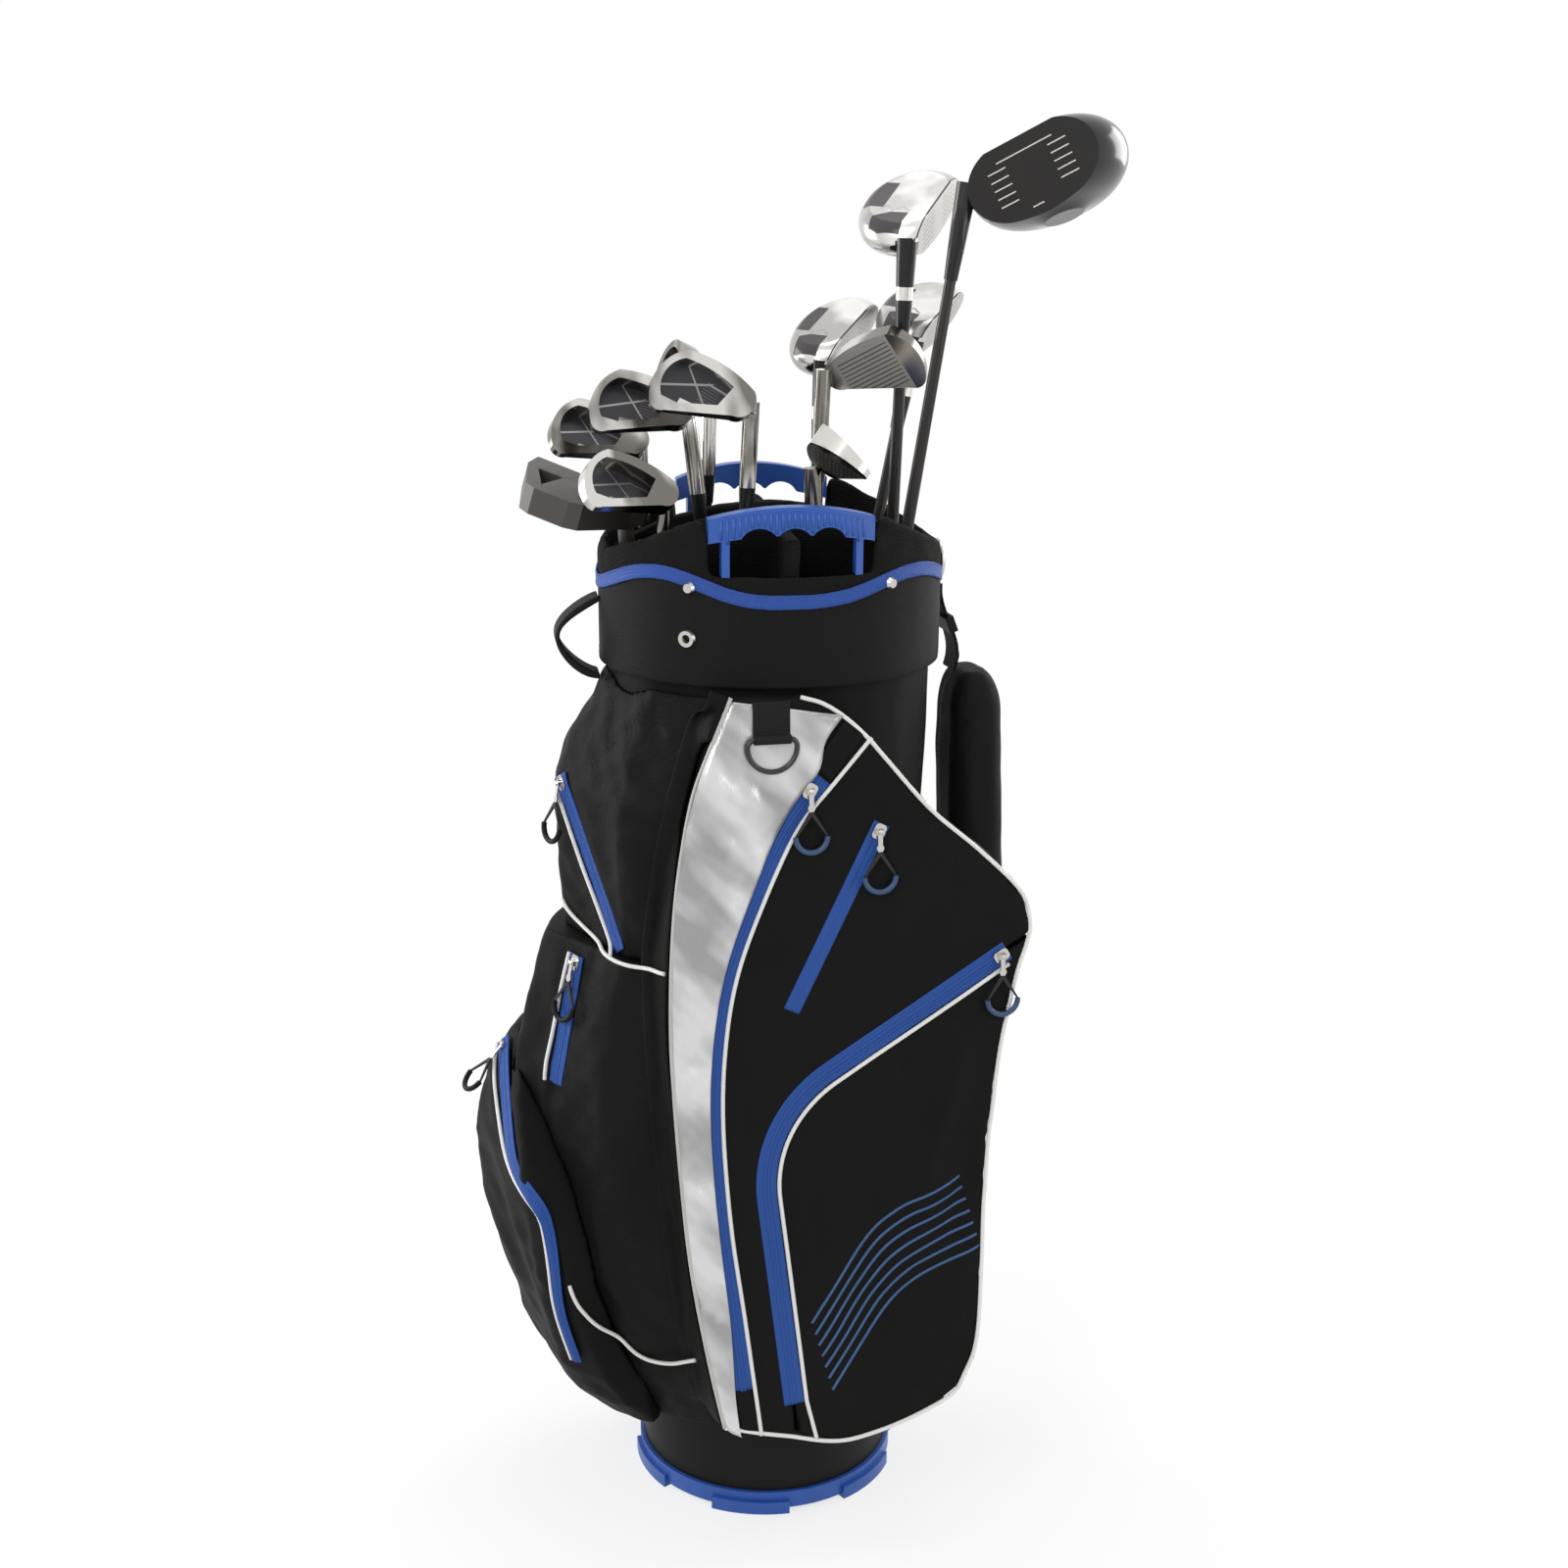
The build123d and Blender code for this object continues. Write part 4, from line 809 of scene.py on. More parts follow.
trimWide = 5.6           # half the tape, in millimetres
trimProfile = [          # across and out, in millimetres
    (-trimWide, -1.2), (-trimWide, 0.0), (-trimWide + 0.8, 0.45), (-3.6, 0.25), (0, 0.5), (3.6, 0.25),
    (trimWide - 0.8, 0.45), (trimWide, 0.0), (trimWide, -1.2),
]
trimSection = [(a * mm, b * mm) for a, b in trimProfile]
line, ups = ringLine(trimSkin, lambda side: sum(trimEdge(side)) / 2, -0.35)
sweep("trim_tape", line, ups, trimSection, blueTrim, stands=("trim_band",), slot="blue_trim", closed=True)

# short stitches along both edges of the trim, in millimetres
stitchRun = {"pitch": 3.0, "length": 1.9, "radius": 0.28}


def stitches(name, line, ups, finish):
    wants = stitchRun
    reach = np.r_[0, np.cumsum(np.linalg.norm(np.diff(line, axis=0), axis=1))]
    starts = np.arange(1 * mm, reach[-1] - 3 * mm, wants["pitch"] * mm)
    verts, faces = [], []
    r = wants["radius"] * mm
    for start in starts:
        ends = []
        for s in (start, start + wants["length"] * mm):
            spot = np.array([np.interp(s, reach, line[:, k]) for k in range(3)])
            up = np.array([np.interp(s, reach, ups[:, k]) for k in range(3)])
            ends.append((spot, up / np.linalg.norm(up)))
        way = ends[1][0] - ends[0][0]
        way /= np.linalg.norm(way)
        across = np.cross(way, ends[0][1])
        base = len(verts)
        middle = (ends[0][0] + ends[1][0]) / 2
        up = ends[0][1]
        for spot, size in ((ends[0][0], 0.35), (middle, 1.0), (ends[1][0], 0.35)):
            verts += [spot + (across * cos(t) + up * sin(t)) * r * size for t in (0, pi / 2, pi, 1.5 * pi)]
        faces += ringFaces(base, 3, 4)
    return build(name, verts, faces, finish)


for offset, label in ((-4.4, "lower"), (4.4, "upper")):
    line, ups = ringLine(trimSkin, lambda side: sum(trimEdge(side)) / 2 + offset, 0.15, 300)
    stitches("trim_stitches_" + label, line, ups, stitchThread)
cuffSkin = Skin([cuffCover])
for height, label in ((760.5, "hem"), (764.5, "hem_upper")):
    line, ups = ringLine(cuffSkin, lambda side: height, 0.1, 260)
    stitches("cuff_stitches_" + label, line, ups, blackWebbing)


def cover(node, name, grain, rounds, finish, slot, shift=None):
    # a soft copy of a node, moved by what shift gives for its points and normals
    piece = softCopy(node, name, grain * mm, rounds)
    if shift:
        points, normals = readMesh(piece.data)
        writeMesh(piece.data, points + shift(points, normals))
    return place(piece, finish, "bag", (node,), slot)


def fleeceShift(wavelength, seed, depth, rise):
    return lambda points, normals: normals * (drift(points / mm, wavelength, seed) * depth + rise)[:, None] * mm


def tabShift(points, normals):
    stand = np.clip(normals @ panelOut * 2, 0, 1) * np.clip((toPanel(points)[:, 1] - 316) / 8, 0, 1)
    return np.outer(stand, panelOut) * 1.8 * mm


cover("rim_collar", "rim_fleece", 2.6, 8, fleece, "black_plastic", fleeceShift(30, 71, 0.4, 0.2))
cover("divider_frame", "divider_fleece", 2.4, 7, fleece, "black_plastic", fleeceShift(40, 75, 0.5, 0.3))
cover("side_handle", "side_handle_webbing", 1.2, 3, blackWebbing, "black_webbing")
cover("towel_loop", "towel_loop_webbing", 0.7, 2, blackWebbing, "black_webbing", tabShift)
cover("strap_webbing", "strap_webbing_cloth", 1.2, 2, blackWebbing, "black_webbing")
print("cuff, rim and webbing dressed")


# zips: two tapes and a coil, with the lengthwise ribs of a covered zip
zipProfile = [
    (-8.6, -1.0), (-8.6, 0.1), (-8.0, 0.55), (-6.3, 0.6), (-5.9, 0.25), (-5.5, 0.6), (-3.4, 0.7), (-3.0, 0.3),
    (-2.7, 0.9), (-2.0, 1.35), (-0.6, 1.4), (0.0, 0.5), (0.6, 1.4), (2.0, 1.35), (2.7, 0.9), (3.0, 0.3), (3.4, 0.7),
    (5.5, 0.6), (5.9, 0.25), (6.3, 0.6), (8.0, 0.55), (8.6, 0.1), (8.6, -1.0),
]
plainProfile = [
    (-7.0, -1.0), (-7.0, 0.1), (-6.4, 0.5), (-0.5, 0.6), (0, 0.2), (0.5, 0.6), (6.4, 0.5), (7.0, 0.1), (7.0, -1.0),
]
zipSection = [(a * mm, b * mm) for a, b in zipProfile]
plainSection = [(a * mm, b * mm) for a, b in plainProfile]
pipeSection = roundSection(1.75 * mm, 10)
pipeSide = -10.4         # from a left zip's middle to its piping, in millimetres
for label, run, half, section, stands in (
    ("long", longZip, 7.5, zipSection, ("front_zips",)),
    ("valuables", valuablesZip, 6.5, plainSection, ()),
    ("lower", lowerZip, 7.5, zipSection, ()),
):
    line, ups = layPanel(run, half, 0.1)
    sweep(label + "_zip_tape", line, ups, section, blueTape, stands=stands, slot="zip_tape")
for label, points in leftZips.items():
    run = evened(through(points, 90), 14)
    # the foot of the lower zip is half under the pocket's edge
    widths = np.interp(run[:, 1], [300, 345], [0.6, 1.0]) if label == "lower" else np.ones(90)
    line, ups = laySide(run, 6.5, 0.1, 16)
    stands = ("left_zips",) if label == "upper" else ()
    sweep("left_zip_tape_" + label, line, ups, zipSection, blueTape, stands=stands, slot="zip_tape", widths=widths)
    aside = acrossWays(run * sideScale) * pipeSide * widths[:, None]
    beside = run + aside * np.array([1 / arcLength, 1])
    line, ups = laySide(beside, 1.5, 0.7, 16)
    sweep("left_piping_" + label, line, ups, pipeSection, whitePiping)
print("zips sewn")


def pipePanel(name, points, finish, lift=0.4, section=pipeSection, count=110):
    line, ups = layPanel(through(points, count), 1.5, lift)
    return sweep(name, line, ups, section, finish)


pipePanel("panel_piping_left", outline, greyPiping)
pipePanel("panel_piping_right", bottomEdge, whitePiping, count=220)
pipePanel("long_zip_piping", longPiping, whitePiping, 0.6)
lowerPiping = list(map(tuple, offsetLine(lowerZip, 10.8, 110)))
pipePanel("lower_zip_piping", lowerPiping[1:] + [(2, -282)], whitePiping, 0.6)
print("piping sewn")


def highest(heights):
    # each height raised to the highest of its neighbours
    padded = np.pad(heights, 1, mode="edge")
    rows, columns = heights.shape
    return np.max([padded[i:i + rows, k:k + columns] for i in range(3) for k in range(3)], axis=0)


def patchBetween(name, left, right, skinLift, finish, wrinkle, columns=18, rows=110, skin=frontSkin):
    # a cloth panel sewn between two lines on the front
    left, right = through(left, rows), through(right, rows)
    share = np.linspace(0, 1, columns + 1)
    spots = (left[:, None] * (1 - share)[:, None] + right[:, None] * share[:, None]).reshape(-1, 2)
    lift = wrinkle(spots, np.tile(share, rows))
    tops = highest(toPanel([skin.onPanel(*spot)[0] for spot in spots])[:, 2].reshape(rows, -1))
    soft = tops.copy()
    for _ in range(4):
        soft = (evened(soft, 2) + evened(soft.T, 2).T) / 2
    tops = np.maximum(soft, tops).ravel() + skinLift
    outer = np.array([fromPanel(u, v, top + h) for (u, v), top, h in zip(spots, tops, lift)])
    inner = np.array([fromPanel(u, v, top - 1.4) for (u, v), top in zip(spots, tops)])
    return shell(name, outer.reshape(rows, -1, 3), inner.reshape(rows, -1, 3), finish, slot="pocket_cloth")


# how far the silver's right edge lies from the long piping, by height
silverHeights, silverGaps = [-272, -225, -180, -90, 120, 200, 250, 300], [18, 17, 13, 10.5, 10.5, 12, 14.5, 18]
silverReach = np.interp(pipingLine[:, 1], silverHeights, silverGaps)
silverRight = pipingLine - acrossWays(pipingLine) * silverReach[:, None]
# gathers run down and out from the zip's seam
gathers = np.random.default_rng(85)
satinFolds = []
for spot in silverRight[6::3]:
    run = gathers.uniform(12, 30)
    end = spot - np.array([run, run * gathers.uniform(0.7, 1.6)])
    width, height = gathers.uniform(2.6, 4.6), gathers.choice([1.0, -0.8]) * gathers.uniform(0.9, 1.9)
    satinFolds.append((spot + np.array([2, 3]), end, width, height))


def satinWrinkle(spots, share):
    seam = np.clip(np.minimum(share, 1 - share) * 6, 0, 1)
    slanted = spots @ np.array([[0.8, 0.35], [-0.6, 0.25]])
    folds = creased(spots, satinFolds) + drift(slanted, 15, 81) * 0.7 + drift(spots, 45, 83) * 0.5
    return seam * (1.5 + folds) * calm(spots, [tabLine], 17, 34) + 1.5 * share ** 6


silverRight = [tuple(p) for p in silverRight if p[1] < 296][::6] + [(-63, -272)]
satinEdge = [p for p in outline if p[1] < 356]
silverLeft, silverRight = [(-62, 353)] + satinEdge, [(28, 338), (13, 318)] + silverRight
patchBetween("silver_panel", silverLeft, silverRight, 1.15, silverSatin, satinWrinkle)


def flatWrinkle(spots, share):
    return np.clip(np.minimum(share, 1 - share) * 8, 0, 1) * 0.5 + drift(spots, 24, 91) * 0.15


headPatch = [(30, 335), (4, 300)], [(46, 322), (18, 284)]
footPatch = [(-68, -230), (-63, -272)], [(-53, -230), (-47, -272)]
patchBetween("zip_head_patch", *headPatch, 1.1, blackCloth, flatWrinkle, 6, 24)
patchBetween("zip_foot_patch", *footPatch, 0.6, blackCloth, flatWrinkle, 8, 16)

# the side pockets' cloth is sewn in under the left piping
allSkin = Skin([frontCloth, ballCloth, upperCloth, middleCloth, lowerCloth])
leftMargin = offsetLine(outline, -17, 40)
seamEdge = [(u - 1.0, v) for u, v in outline]
seamPatch = patchBetween("side_seam_patch", leftMargin, seamEdge, 0.5, blackCloth, flatWrinkle, 12, 120, allSkin)
sideSkin = Skin([upperCloth, middleCloth, lowerCloth, seamPatch])
for label, points in sidePipes.items():
    line, ups = laySide(through(points, 60), 1.5, 0.7)
    sweep("side_piping_" + label, line, ups, pipeSection, whitePiping)
print("panels sewn")

# plain stripes across the ball pocket, sewn in one thread
stripes = {
    "count": 7, "pitch": 10.5, "start": (4, -196), "bend": (62, -112), "end": (132, -78),
    "half": 1.15 * mm, "rise": 0.45 * mm, "edge": 0.15 * mm, "root": -0.6 * mm,
}
half, rise, edge, root = (stripes[key] for key in ("half", "rise", "edge", "root"))
stripeSection = [(-half, root), (-half, edge), (0, rise), (half, edge), (half, root)]
for i in range(stripes["count"]):
    drop = i * stripes["pitch"] - 20
    run = [(u + 0.28 * drop, v - drop) for u, v in (stripes["start"], stripes["bend"], stripes["end"])]
    line, ups = frontSkin.panelLine(run, 0.1, 90)
    sweep("stripe_%d" % (i + 1), evened(line, 2), ups, stripeSection, stripeThread)
print("stripes sewn")


def dress(node, finish):
    nodes[node].data.materials.clear()
    nodes[node].data.materials.append(finish)


for node, finish in {
    "base_cup": blackPlastic, "foot_ring": bluePlastic, "front_handle": bluePlastic, "rear_handle": bluePlastic,
    "rivets_and_studs": nickel, "strap_ring": nickel, "strap_buckle": blackPlastic, "towel_ring": blackRing,
}.items():
    dress(node, finish)

# upright ribs on both faces of each carry handle, between the scallops and the top rim
handleRibs = {"pitch": 4.7, "reach": 61.0, "half": 1.35, "rise": 1.1, "rim": 3.4, "longest": 24, "step": 1.5}
ribSection = [(handleRibs["half"] * cos(t) * mm, handleRibs["rise"] * sin(t) * mm) for t in np.linspace(0, pi, 7)]
ribSection += [(-handleRibs["half"] * mm, -0.6 * mm), (handleRibs["half"] * mm, -0.6 * mm)]


def ribHandle(node, way):
    # way is the direction in which the outer face is met
    skin = Skin([nodes[node]])
    low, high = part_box(node)
    verts, faces = [], []
    rows = int(handleRibs["reach"] / handleRibs["pitch"])
    for i in range(-rows, rows + 1):
        x = (low.x + high.x) / 2 + i * handleRibs["pitch"] * mm
        heights = np.arange(high.z - 42 * mm, high.z, 0.4 * mm)
        below = [skin.hit((x, -0.3 * way, z), (0, way, 0), 0)[0] for z in heights[::-1]]
        first = next((k for k, spot in enumerate(below) if spot is not None), None)
        if first is None:
            continue
        top = below[first]
        face = below[first + 8] if first + 8 < len(below) and below[first + 8] is not None else top
        run = [top]
        for spot in below[first + 1:]:
            if spot is None or top[2] - spot[2] > handleRibs["longest"] * mm:
                break
            if abs(spot[1] - face[1]) > handleRibs["step"] * mm and top[2] - spot[2] > 3 * mm:
                break
            run.append(spot)
        top = np.array([face[0], face[1], top[2]])
        ends = run[-1] + np.array([0, 0, 1.4 * mm]), top - np.array([0, 0, handleRibs["rim"] * mm])
        if ends[1][2] - ends[0][2] < 4 * mm:
            continue
        base = len(verts)
        for end in ends:
            verts += [end + np.array([a, -way * b, 0]) for a, b in ribSection]
        faces += ringFaces(base, 2, len(ribSection)) + ringEnds(base, 2, len(ribSection))
    build(node + "_ribs", verts, faces, bluePlastic, "bag", (), "blue_plastic")


ribHandle("front_handle", 1)
ribHandle("rear_handle", -1)


# sliders keep their solids; each pull is a tab, a cord and a finger piece
for zipName in ("long", "valuables", "ball", "upper_left", "middle_left", "lower_left"):
    node = zipName + "_zip_pull"
    dress(zipName + "_zip_slider", nickel)
    hinge = next(np.array(j["pos_m"]) for j in frame["joints"] if j["name"] == node + "_hinge")
    parts = sorted(loosePieces(node), key=lambda item: np.linalg.norm(item[0].mean(0) - hinge))
    finger = blueFinger if zipName in ("long", "valuables", "ball") else blackPlastic
    for (verts, faces), label, finish in zip(parts, ("tab", "cord", "finger"), (nickel, cordBlack, finger)):
        stands = (node,) if label == "tab" else ()
        build(node + "_" + label, verts, faces, finish, node, stands, smooth=False)
print("fittings dressed")


# shoulder strap pad: a stuffed pad with sewn channels along it
padShape = {"channels": 3, "depth": 2.2, "rows": 70, "around": 64}      # depth of the channels in millimetres


def strapPad():
    mesh = nodes["strap_pad"].data
    points, _ = readMesh(mesh)
    middle = (points.max(0) + points.min(0)) / 2
    axes = np.linalg.svd(points - points.mean(0), full_matrices=False)[2]
    along = axes[0] * np.sign(axes[0][2])
    outward = axes[2] * np.sign(axes[2] @ (middle * np.array([1, 1, 0])))
    across = np.cross(outward, along)
    reach = [np.ptp((points - middle) @ axis) / 2 for axis in (along, across, outward)]
    verts = []
    rows, around = padShape["rows"], padShape["around"]
    for i in range(rows):
        t = -cos(pi * i / (rows - 1))
        taper = (1 - abs(t) ** 7) ** 0.5
        for k in range(around):
            turn = 2 * pi * k / around
            c, s = cos(turn), sin(turn)
            a = abs(c) ** 0.45 * (1 if c > 0 else -1)
            b = abs(s) ** 0.7 * (1 if s > 0 else -1)
            seam = max(cos(pi * padShape["channels"] * (a + 1) / 2) ** 12, 0) if abs(a) < 0.92 else 0
            dip = padShape["depth"] * seam * taper * abs(b)
            thick = reach[2] * (0.78 + 0.22 * (1 - a * a)) * (0.3 + 0.7 * taper)
            spot = middle + along * t * reach[0] + across * a * reach[1] * (0.55 + 0.45 * taper)
            verts.append(spot + outward * (b * thick - np.sign(b) * dip * mm))
    faces = ringFaces(0, rows, around) + ringEnds(0, rows, around)
    pad = build("strap_pad_cover", verts, faces, cuffCloth, "bag", ("strap_pad",), "black_webbing")
    points, normals = readMesh(pad.data)
    writeMesh(pad.data, points + normals * (drift(points / mm * np.array([1, 1, 0.5]), 26, 95) * 0.5)[:, None] * mm)


strapPad()
print("strap pad made")


# toe: turn of the toe round the bag; lie and loft in degrees; length, hosel and the head's length, depth and
# height in millimetres; face: how much of the depth lies in front of the shaft
clubs = {
    "driver": {
        "toe": -40, "lie": 57, "loft": 10.5, "length": 1148, "hosel": 64, "head": (128, 122, 64), "face": 0.11,
    },
    "fairway_wood": {
        "toe": 50, "lie": 57, "loft": 15, "length": 1092, "hosel": 66, "head": (100, 78, 40), "face": 0.15,
    },
    "long_hybrid": {
        "toe": 52, "lie": 58, "loft": 19, "length": 1026, "hosel": 66, "head": (96, 66, 38), "face": 0.15,
    },
    "short_hybrid": {
        "toe": 45, "lie": 58, "loft": 22, "length": 990, "hosel": 66, "head": (96, 66, 38), "face": 0.15,
    },
    "four_iron": {"toe": -33, "lie": 60.5, "loft": 23, "length": 981, "hosel": 74},
    "five_iron": {"toe": 100, "lie": 61, "loft": 26, "length": 958, "hosel": 74},
    "six_iron": {"toe": 172, "lie": 61.5, "loft": 29, "length": 961, "hosel": 74},
    "seven_iron": {"toe": 176, "lie": 62, "loft": 33, "length": 953, "hosel": 74},
    "pitching_wedge": {"toe": 182, "lie": 63.5, "loft": 45, "length": 915, "hosel": 74},
    "gap_wedge": {"toe": 190, "lie": 63.5, "loft": 50, "length": 885, "hosel": 74},
    "sand_wedge": {"toe": -100, "lie": 64, "loft": 55, "length": 908, "hosel": 74},
    "putter": {"toe": 152, "lie": 71, "loft": 3.5, "length": 875, "hosel": 62},
}
gripLength, ferruleLength, heelRoom = 267, 24, 14


def clubFrame(club):
    # the shaft's direction and butt, and the head's origin with its back, toe and crown directions
    axis = next(np.array(j["axis"]) for j in frame["joints"] if j["name"] == club + "_slide")
    axis /= np.linalg.norm(axis)
    points = np.array([v.co for v in nodes[club + "_shaft"].data.vertices])
    along = points @ axis
    low = points[along < along.min() + 0.0001].mean(0)
    butt = low + axis * (along.min() - low @ axis)
    turn, lie = radians(clubs[club]["toe"]), radians(clubs[club]["lie"])
    towards = np.array([cos(turn), sin(turn), 0])
    level = towards - axis * (towards @ axis)
    level /= np.linalg.norm(level)
    toe = level * sin(lie) + axis * cos(lie)
    crown = level * cos(lie) - axis * sin(lie)
    return axis, butt, butt + axis * clubs[club]["length"] * mm, np.cross(toe, crown), toe, crown


def facePlane(club, back, crown):
    # outwards from the back of the face, and up it
    loft = radians(clubs[club]["loft"])
    return back * cos(loft) - crown * sin(loft), back * sin(loft) + crown * cos(loft)


def driverFinish():
    club = "driver"
    origin, back, toe, crown = clubFrame(club)[2:]
    length, depth, _ = clubs[club]["head"]
    faceWay, _ = facePlane(club, back, crown)
    head = Finish("driver_finish", (0.012, 0.011, 0.011), 0.25, 0.0, Coat_Roughness=0.1, Specular_IOR_Level=0.22)
    x, y, z = head.measured(origin, (back, toe, crown))
    behind, = head.measured(origin - back * clubs[club]["face"] * depth * mm, (faceWay,))
    middle = length / 2 - heelRoom
    side = abs(y - middle)
    face = (behind < 0.6) & (z > 0.0)
    sole = (head.facing(crown) < -0.35) & (behind > 2.0)
    plate = sole & (y > 66.0) & (x > 12.0) & (y - x * 0.5 < 92.0)
    emblem = plate & (x > 42.0) & (x < 60.0) & (y > 74.0)
    rows = z.rows(6.6, 0.5) & (z > 15.0) & (z < 49.0) & (side > 19.0) & (side < 35.0)
    lines = rows | (z.near(11.0, 0.5) & (side < 25.0)) | (z.near(53.0, 0.5) & y.near(middle - 6.0, 5.0))
    mottle = head.noise(40, 3)
    colour = head.blend(mottle, (0.0105, 0.0095, 0.009), (0.017, 0.0155, 0.015))
    colour = head.blend(plate, colour, (0.78, 0.76, 0.72))
    colour = head.blend(emblem, colour, (0.06, 0.058, 0.06))
    head.put("Base Color", head.blend(face & lines, colour, (0.62, 0.60, 0.56)))
    head.put("Metallic", (plate & (1 - emblem)) * 0.8)
    head.put("Roughness", mottle * 0.1 + 0.16 + face * 0.26)
    head.put("Coat Weight", (1 - face) * 0.35)
    head.bump(head.noise(900, 2) * 0.12 - (face & lines) * 1.0 - emblem * 1.5, 0.00025)
    return head.material


def woodFinish(club):
    axis, _, origin, back, toe, crown = clubFrame(club)
    length, depth, height = clubs[club]["head"]
    faceWay, _ = facePlane(club, back, crown)
    gloss = {"Coat_Weight": 0.1, "Coat_Roughness": 0.1, "Specular_IOR_Level": 0.25}
    head = Finish(club + "_finish", (0.012, 0.011, 0.011), 0.25, 0.0, **gloss)
    x, y, z = head.measured(origin, (back, toe, crown))
    behind, = head.measured(origin - back * clubs[club]["face"] * depth * mm, (faceWay,))
    middle = length / 2 - heelRoom
    face = (behind < 0.6) & (z > 0.5)
    sole = (z < height * 0.66) & (behind > 1.6) & (y + x * 0.15 > -12.0)
    scale = depth / 66
    heel = (x > 5.0 * scale) & (x < 31.0 * scale) & (y > -9.0) & (y < 13.0)
    heel = heel & (y + x * 0.5 < 24.0) & (y - x * 0.5 > -22.0)
    tail = (x > 27.0 * scale) & (x < 45.0 * scale) & y.near(middle, 17.0) & (abs(y - middle) + x * 0.7 < 44.0 * scale)
    zigzag = (y - 15.0 - abs(x.maths("FRACT", x / 14.0) - 0.5) * 12.0).near(0.0, 1.2) & (x > 6.0) & (x < 34.0)
    emblem = sole & (heel | tail) & (z < height * 0.5)
    mark = sole & zigzag & (z < height * 0.5)
    side = abs(y - middle)
    dots = z.rows(4.6, 0.5) & y.rows(5.2, 1.9) & (side > 8.0) & (side < 30.0) & (z > 6.0) & (z < height - 6.0)
    mottle = head.noise(50, 3)
    colour = head.blend(mottle, (0.0105, 0.010, 0.0095), (0.017, 0.016, 0.0155))
    colour = head.blend(sole, colour, head.blend((head.noise(20, 2) - 0.4) * 5, (0.42, 0.41, 0.39), (0.80, 0.79, 0.77)))
    colour = head.blend(mark, colour, (0.36, 0.36, 0.38))
    colour = head.blend(emblem, colour, (0.055, 0.050, 0.052))
    colour = head.blend(face, colour, (0.50, 0.485, 0.46))
    colour = head.blend(face & dots, colour, (0.16, 0.15, 0.14))
    across, down = head.measured(origin, (np.cross(axis, back), -axis))
    neck = (x * x + across * across < 95.0) & (down > 15.0)
    ring = neck & (down > 51.0) & (down < 61.5)
    colour = head.blend(neck, colour, (0.0105, 0.010, 0.0095))
    head.put("Base Color", head.blend(ring, colour, (0.66, 0.64, 0.60)))
    head.put("Metallic", (((sole & (1 - emblem)) | face) & (1 - neck)) * 0.75 + ring)
    head.put("Roughness", mottle * 0.1 + 0.16 + face * 0.16)
    head.bump(head.noise(900, 2) * 0.1 - (face & dots) * 0.8 - emblem * 2.0 - mark * 1.2, 0.0003)
    return head.material


def ironFinish(club):
    origin, back, toe, crown = clubFrame(club)[2:]
    faceWay, upWay = facePlane(club, back, crown)
    head = Finish(club + "_finish", (0.62, 0.60, 0.57), 0.18, 1.0)
    behind, y, up = head.measured(origin - back * 4 * mm, (faceWay, toe, upWay))
    turned = head.facing(faceWay)
    face = (behind < 0.25) & (turned < -0.8) & (y > 2.0)
    pad = behind.near(3.5, 0.3) & (turned > 0.8)
    notch = (y > 34.0) & (y < 48.0)
    pad = pad & (up < 40.0 - notch * 5.0 + (y - 34.0) * 0.12)
    grooves = up.rows(3.7, 0.5) & (y > 9.0) & (y < 56.0) & (up > 6.0) & (up < 48.0)
    milled = face & (y > 7.0) & (y < 58.0)
    rising = (up - y * 0.62).near(-6.0, 1.1) & (y > 30.0)
    falling = (up + y * 0.9).near(58.0, 1.0) & (y > 26.0) & (up < 34.0)
    ribs = rising | falling | (up.near(14.0, 1.0) & (y < 34.0))
    fine = up.rows(2.6, 0.35) & (y > 22.0) & (y < 36.0) & (up > 16.0)
    smudge = head.noise(45, 4)
    hairs = head.noise(1500, 2, (1, 1, 0.05))
    # painted reflection: stretched dark and light streaks, with a tone that shifts by how the surface faces, stand in
    # for reflections in the chrome rim
    reflectionStreaks = (head.noise(24, 2, (1.0, 1.0, 0.5)) - 0.44) * 7
    colour = head.blend(reflectionStreaks + turned * 0.25, (0.20, 0.185, 0.165), (0.68, 0.66, 0.63))
    colour = head.blend(milled, colour, head.blend(hairs, (0.30, 0.285, 0.265), (0.40, 0.385, 0.36)))
    colour = head.blend(milled & grooves, colour, (0.085, 0.08, 0.075))
    colour = head.blend(pad, colour, (0.020, 0.019, 0.024))
    colour = head.blend(pad & fine, colour, (0.09, 0.09, 0.10))
    head.put("Base Color", head.blend(pad & ribs, colour, (0.30, 0.295, 0.29)))
    head.put("Metallic", 1 - (pad & (1 - ribs)) * 0.9)
    head.put("Roughness", smudge * 0.1 + 0.12 + milled * 0.28 + pad * 0.14)
    height = hairs * 0.06 + smudge * 0.1 - (milled & grooves) * 2.0 + (pad & ribs) * 2.2 + (pad & fine) * 0.6
    head.bump(height, 0.00025)
    return head.material


def putterFinish():
    origin, back, toe, crown = clubFrame("putter")[2:]
    head = Finish("putter_finish", (0.022, 0.020, 0.019), 0.4)
    x, y = head.measured(origin, (back, toe))
    middle = 34.0
    top = head.facing(crown) > 0.8
    seams = (abs(y - middle) - x * 0.22).near(8.0, 0.45) & (x > -4.0) & (x < 62.0)
    seams = seams | (x.near(16.0, 0.4) & (abs(y - middle) < 46.0))
    sight = top & y.near(middle, 0.9) & (x > 6.0) & (x < 60.0)
    grain = head.noise(1300, 2)
    colour = head.blend(grain, (0.055, 0.050, 0.046), (0.085, 0.078, 0.072))
    colour = head.blend(seams, colour, (0.012, 0.011, 0.010))
    head.put("Base Color", head.blend(sight, colour, (0.42, 0.41, 0.39)))
    head.put("Metallic", 0.55)
    head.put("Roughness", grain * 0.14 + 0.36)
    head.bump(grain * 0.3 - seams * 2.0, 0.0003)
    return head.material


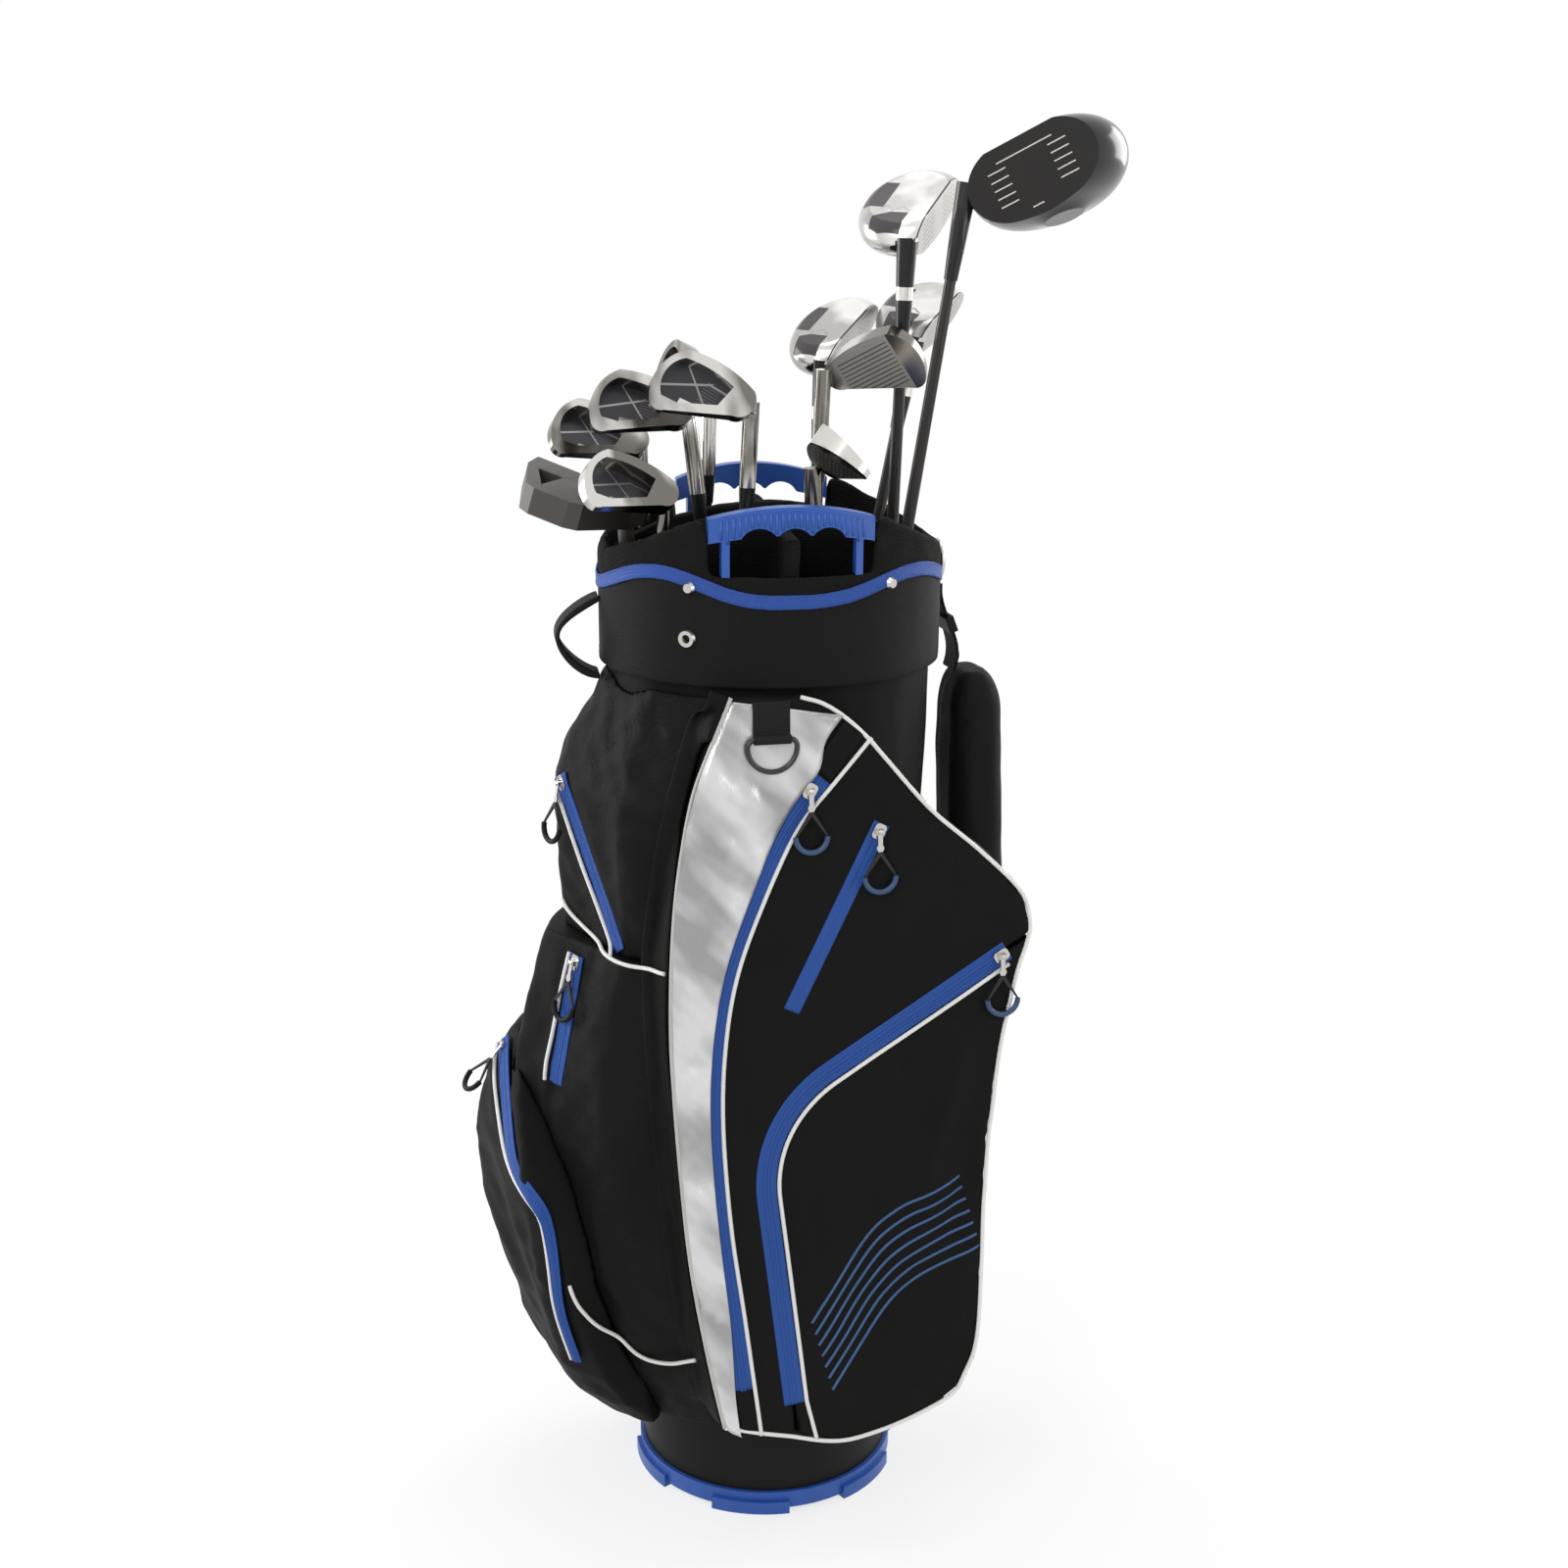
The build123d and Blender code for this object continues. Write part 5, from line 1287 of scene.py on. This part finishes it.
def shaftFinish(club):
    axis, butt = clubFrame(club)[:2]
    tip = clubs[club]["length"] - clubs[club]["hosel"]
    shaft = Finish(club + "_shaft_finish", (0.016, 0.015, 0.014), 0.3, 0.0, Coat_Weight=0.08, Specular_IOR_Level=0.25)
    along, = shaft.measured(butt, (axis,))
    grip = along < gripLength + 0.05
    ferrule = along > tip - ferruleLength - 0.2
    cloud = shaft.noise(30, 3)
    colour = shaft.blend(cloud, (0.014, 0.0125, 0.0115), (0.022, 0.020, 0.0185))
    colour = shaft.blend(grip | ferrule, colour, (0.0085, 0.0083, 0.008))
    pattern = along.rows(4.2, 0.7) * grip
    shaft.put("Roughness", cloud * 0.08 + 0.24 + grip * 0.5)
    shaft.put("Base Color", colour)
    shaft.bump((shaft.noise(700, 2) * 1.4 + pattern) * grip, 0.0003)
    return shaft.material


for club in clubs:
    if club == "driver":
        finish = driverFinish()
    elif "head" in clubs[club]:
        finish = woodFinish(club)
    else:
        finish = putterFinish() if club == "putter" else ironFinish(club)
    dress(club + "_head", finish)
    dress(club + "_shaft", shaftFinish(club))
print("clubs finished")


def stageFloor():
    mesh = bpy.data.meshes.new("floor")
    reach = 9.0
    corners = [(-reach, -reach, 0), (reach, -reach, 0), (reach, reach, 0), (-reach, reach, 0)]
    mesh.from_pydata(corners, [], [(0, 1, 2, 3)])
    floor = bpy.data.objects.new("floor", mesh)
    scene.collection.objects.link(floor)
    pale = Finish("paleFloor", (0.86, 0.86, 0.86), 0.9)
    east, north = pale.measured(Vector((0, 0, 0)), (Vector((1, 0, 0)), Vector((0, 1, 0))))
    away = (east * east + north * north) / 1e6                     # square metres out from the bag
    share = seenRays(pale) * ((away * 0.2 + 0.72) & 1.0)
    glow = pale.add("ShaderNodeEmission", {}, {"Strength": 1.0})
    surface = Value(pale, pale.shader.outputs[0])
    mix = pale.add("ShaderNodeMixShader", {}, {0: share, 1: surface, 2: glow})
    pale.tree.links.new(mix.socket, pale.tree.nodes["Material Output"].inputs["Surface"])
    mesh.materials.append(pale.material)


def seenRays(wiring):
    # 1 for the rays that show the background, 0 for those that carry light
    kinds = ("Is Camera Ray", "Is Glossy Ray", "Is Transmission Ray")
    camera, glossy, clear = (wiring.add("ShaderNodeLightPath", out=kind) for kind in kinds)
    return camera | glossy | clear


def skyLight():
    world = bpy.data.worlds.new("studio")
    scene.world = world
    sky = Wiring(world)
    background = sky.tree.nodes["Background"]
    strength = seenRays(sky) * (1 - worldLight) + worldLight
    sky.tree.links.new(strength.socket, background.inputs["Strength"])
    background.inputs["Color"].default_value = (1, 1, 1, 1)


worldLight = 0.45
softLights = {
    # name: (place in metres, size, power)
    "key": ((-1.6, -1.9, 2.3), 1.4, 34),
    "fill": ((1.9, -1.5, 1.3), 1.3, 14),
    "left_edge": ((-1.9, 0.9, 1.2), 1.2, 26),
    "right_edge": ((1.9, 0.9, 1.4), 1.2, 22),
    "top": ((0.0, 0.2, 2.8), 1.6, 20),
}


def softLight(name, spot, size, power, aim=(0, 0, 0.65)):
    lamp = bpy.data.lights.new(name, "AREA")
    lamp.size = size
    lamp.energy = power
    light = bpy.data.objects.new(name, lamp)
    light.location = spot
    light.rotation_euler = (Vector(aim) - Vector(spot)).to_track_quat("-Z", "Y").to_euler()
    scene.collection.objects.link(light)


stageFloor()
skyLight()
for name, (spot, size, power) in softLights.items():
    softLight(name, spot, size, power)
scene.view_settings.view_transform = "Standard"

# metres, radians for pitch and yaw, degrees for roll and turn, millimetres for the lens
view = {
    "distance": 1.8116, "height": 1.1765, "pitch": 0.2870, "yaw": 0.0075, "roll": 0.45, "turn": 9.0, "lens": 50.535,
}


def studioCamera():
    camera = bpy.data.cameras.new("camera")
    camera.lens = view["lens"]
    camera.sensor_width = 36
    camera.clip_end = 40
    seat = bpy.data.objects.new("camera", camera)
    scene.collection.objects.link(seat)
    swing = Matrix.Rotation(-radians(view["turn"]), 3, "Z")
    pitch, yaw, roll = view["pitch"], view["yaw"], radians(view["roll"])
    ahead = swing @ Vector((sin(yaw) * cos(pitch), cos(yaw) * cos(pitch), -sin(pitch)))
    right = swing @ Vector((cos(yaw), -sin(yaw), 0))
    up = right.cross(ahead)
    x = right * cos(roll) + up * sin(roll)
    y = up * cos(roll) - right * sin(roll)
    turned = Matrix((x, y, -ahead)).transposed().to_4x4()
    spot = swing @ Vector((0, -view["distance"], 0)) + Vector((0, 0, view["height"]))
    seat.matrix_world = Matrix.Translation(spot) @ turned
    scene.camera = seat


studioCamera()
print("stage set")
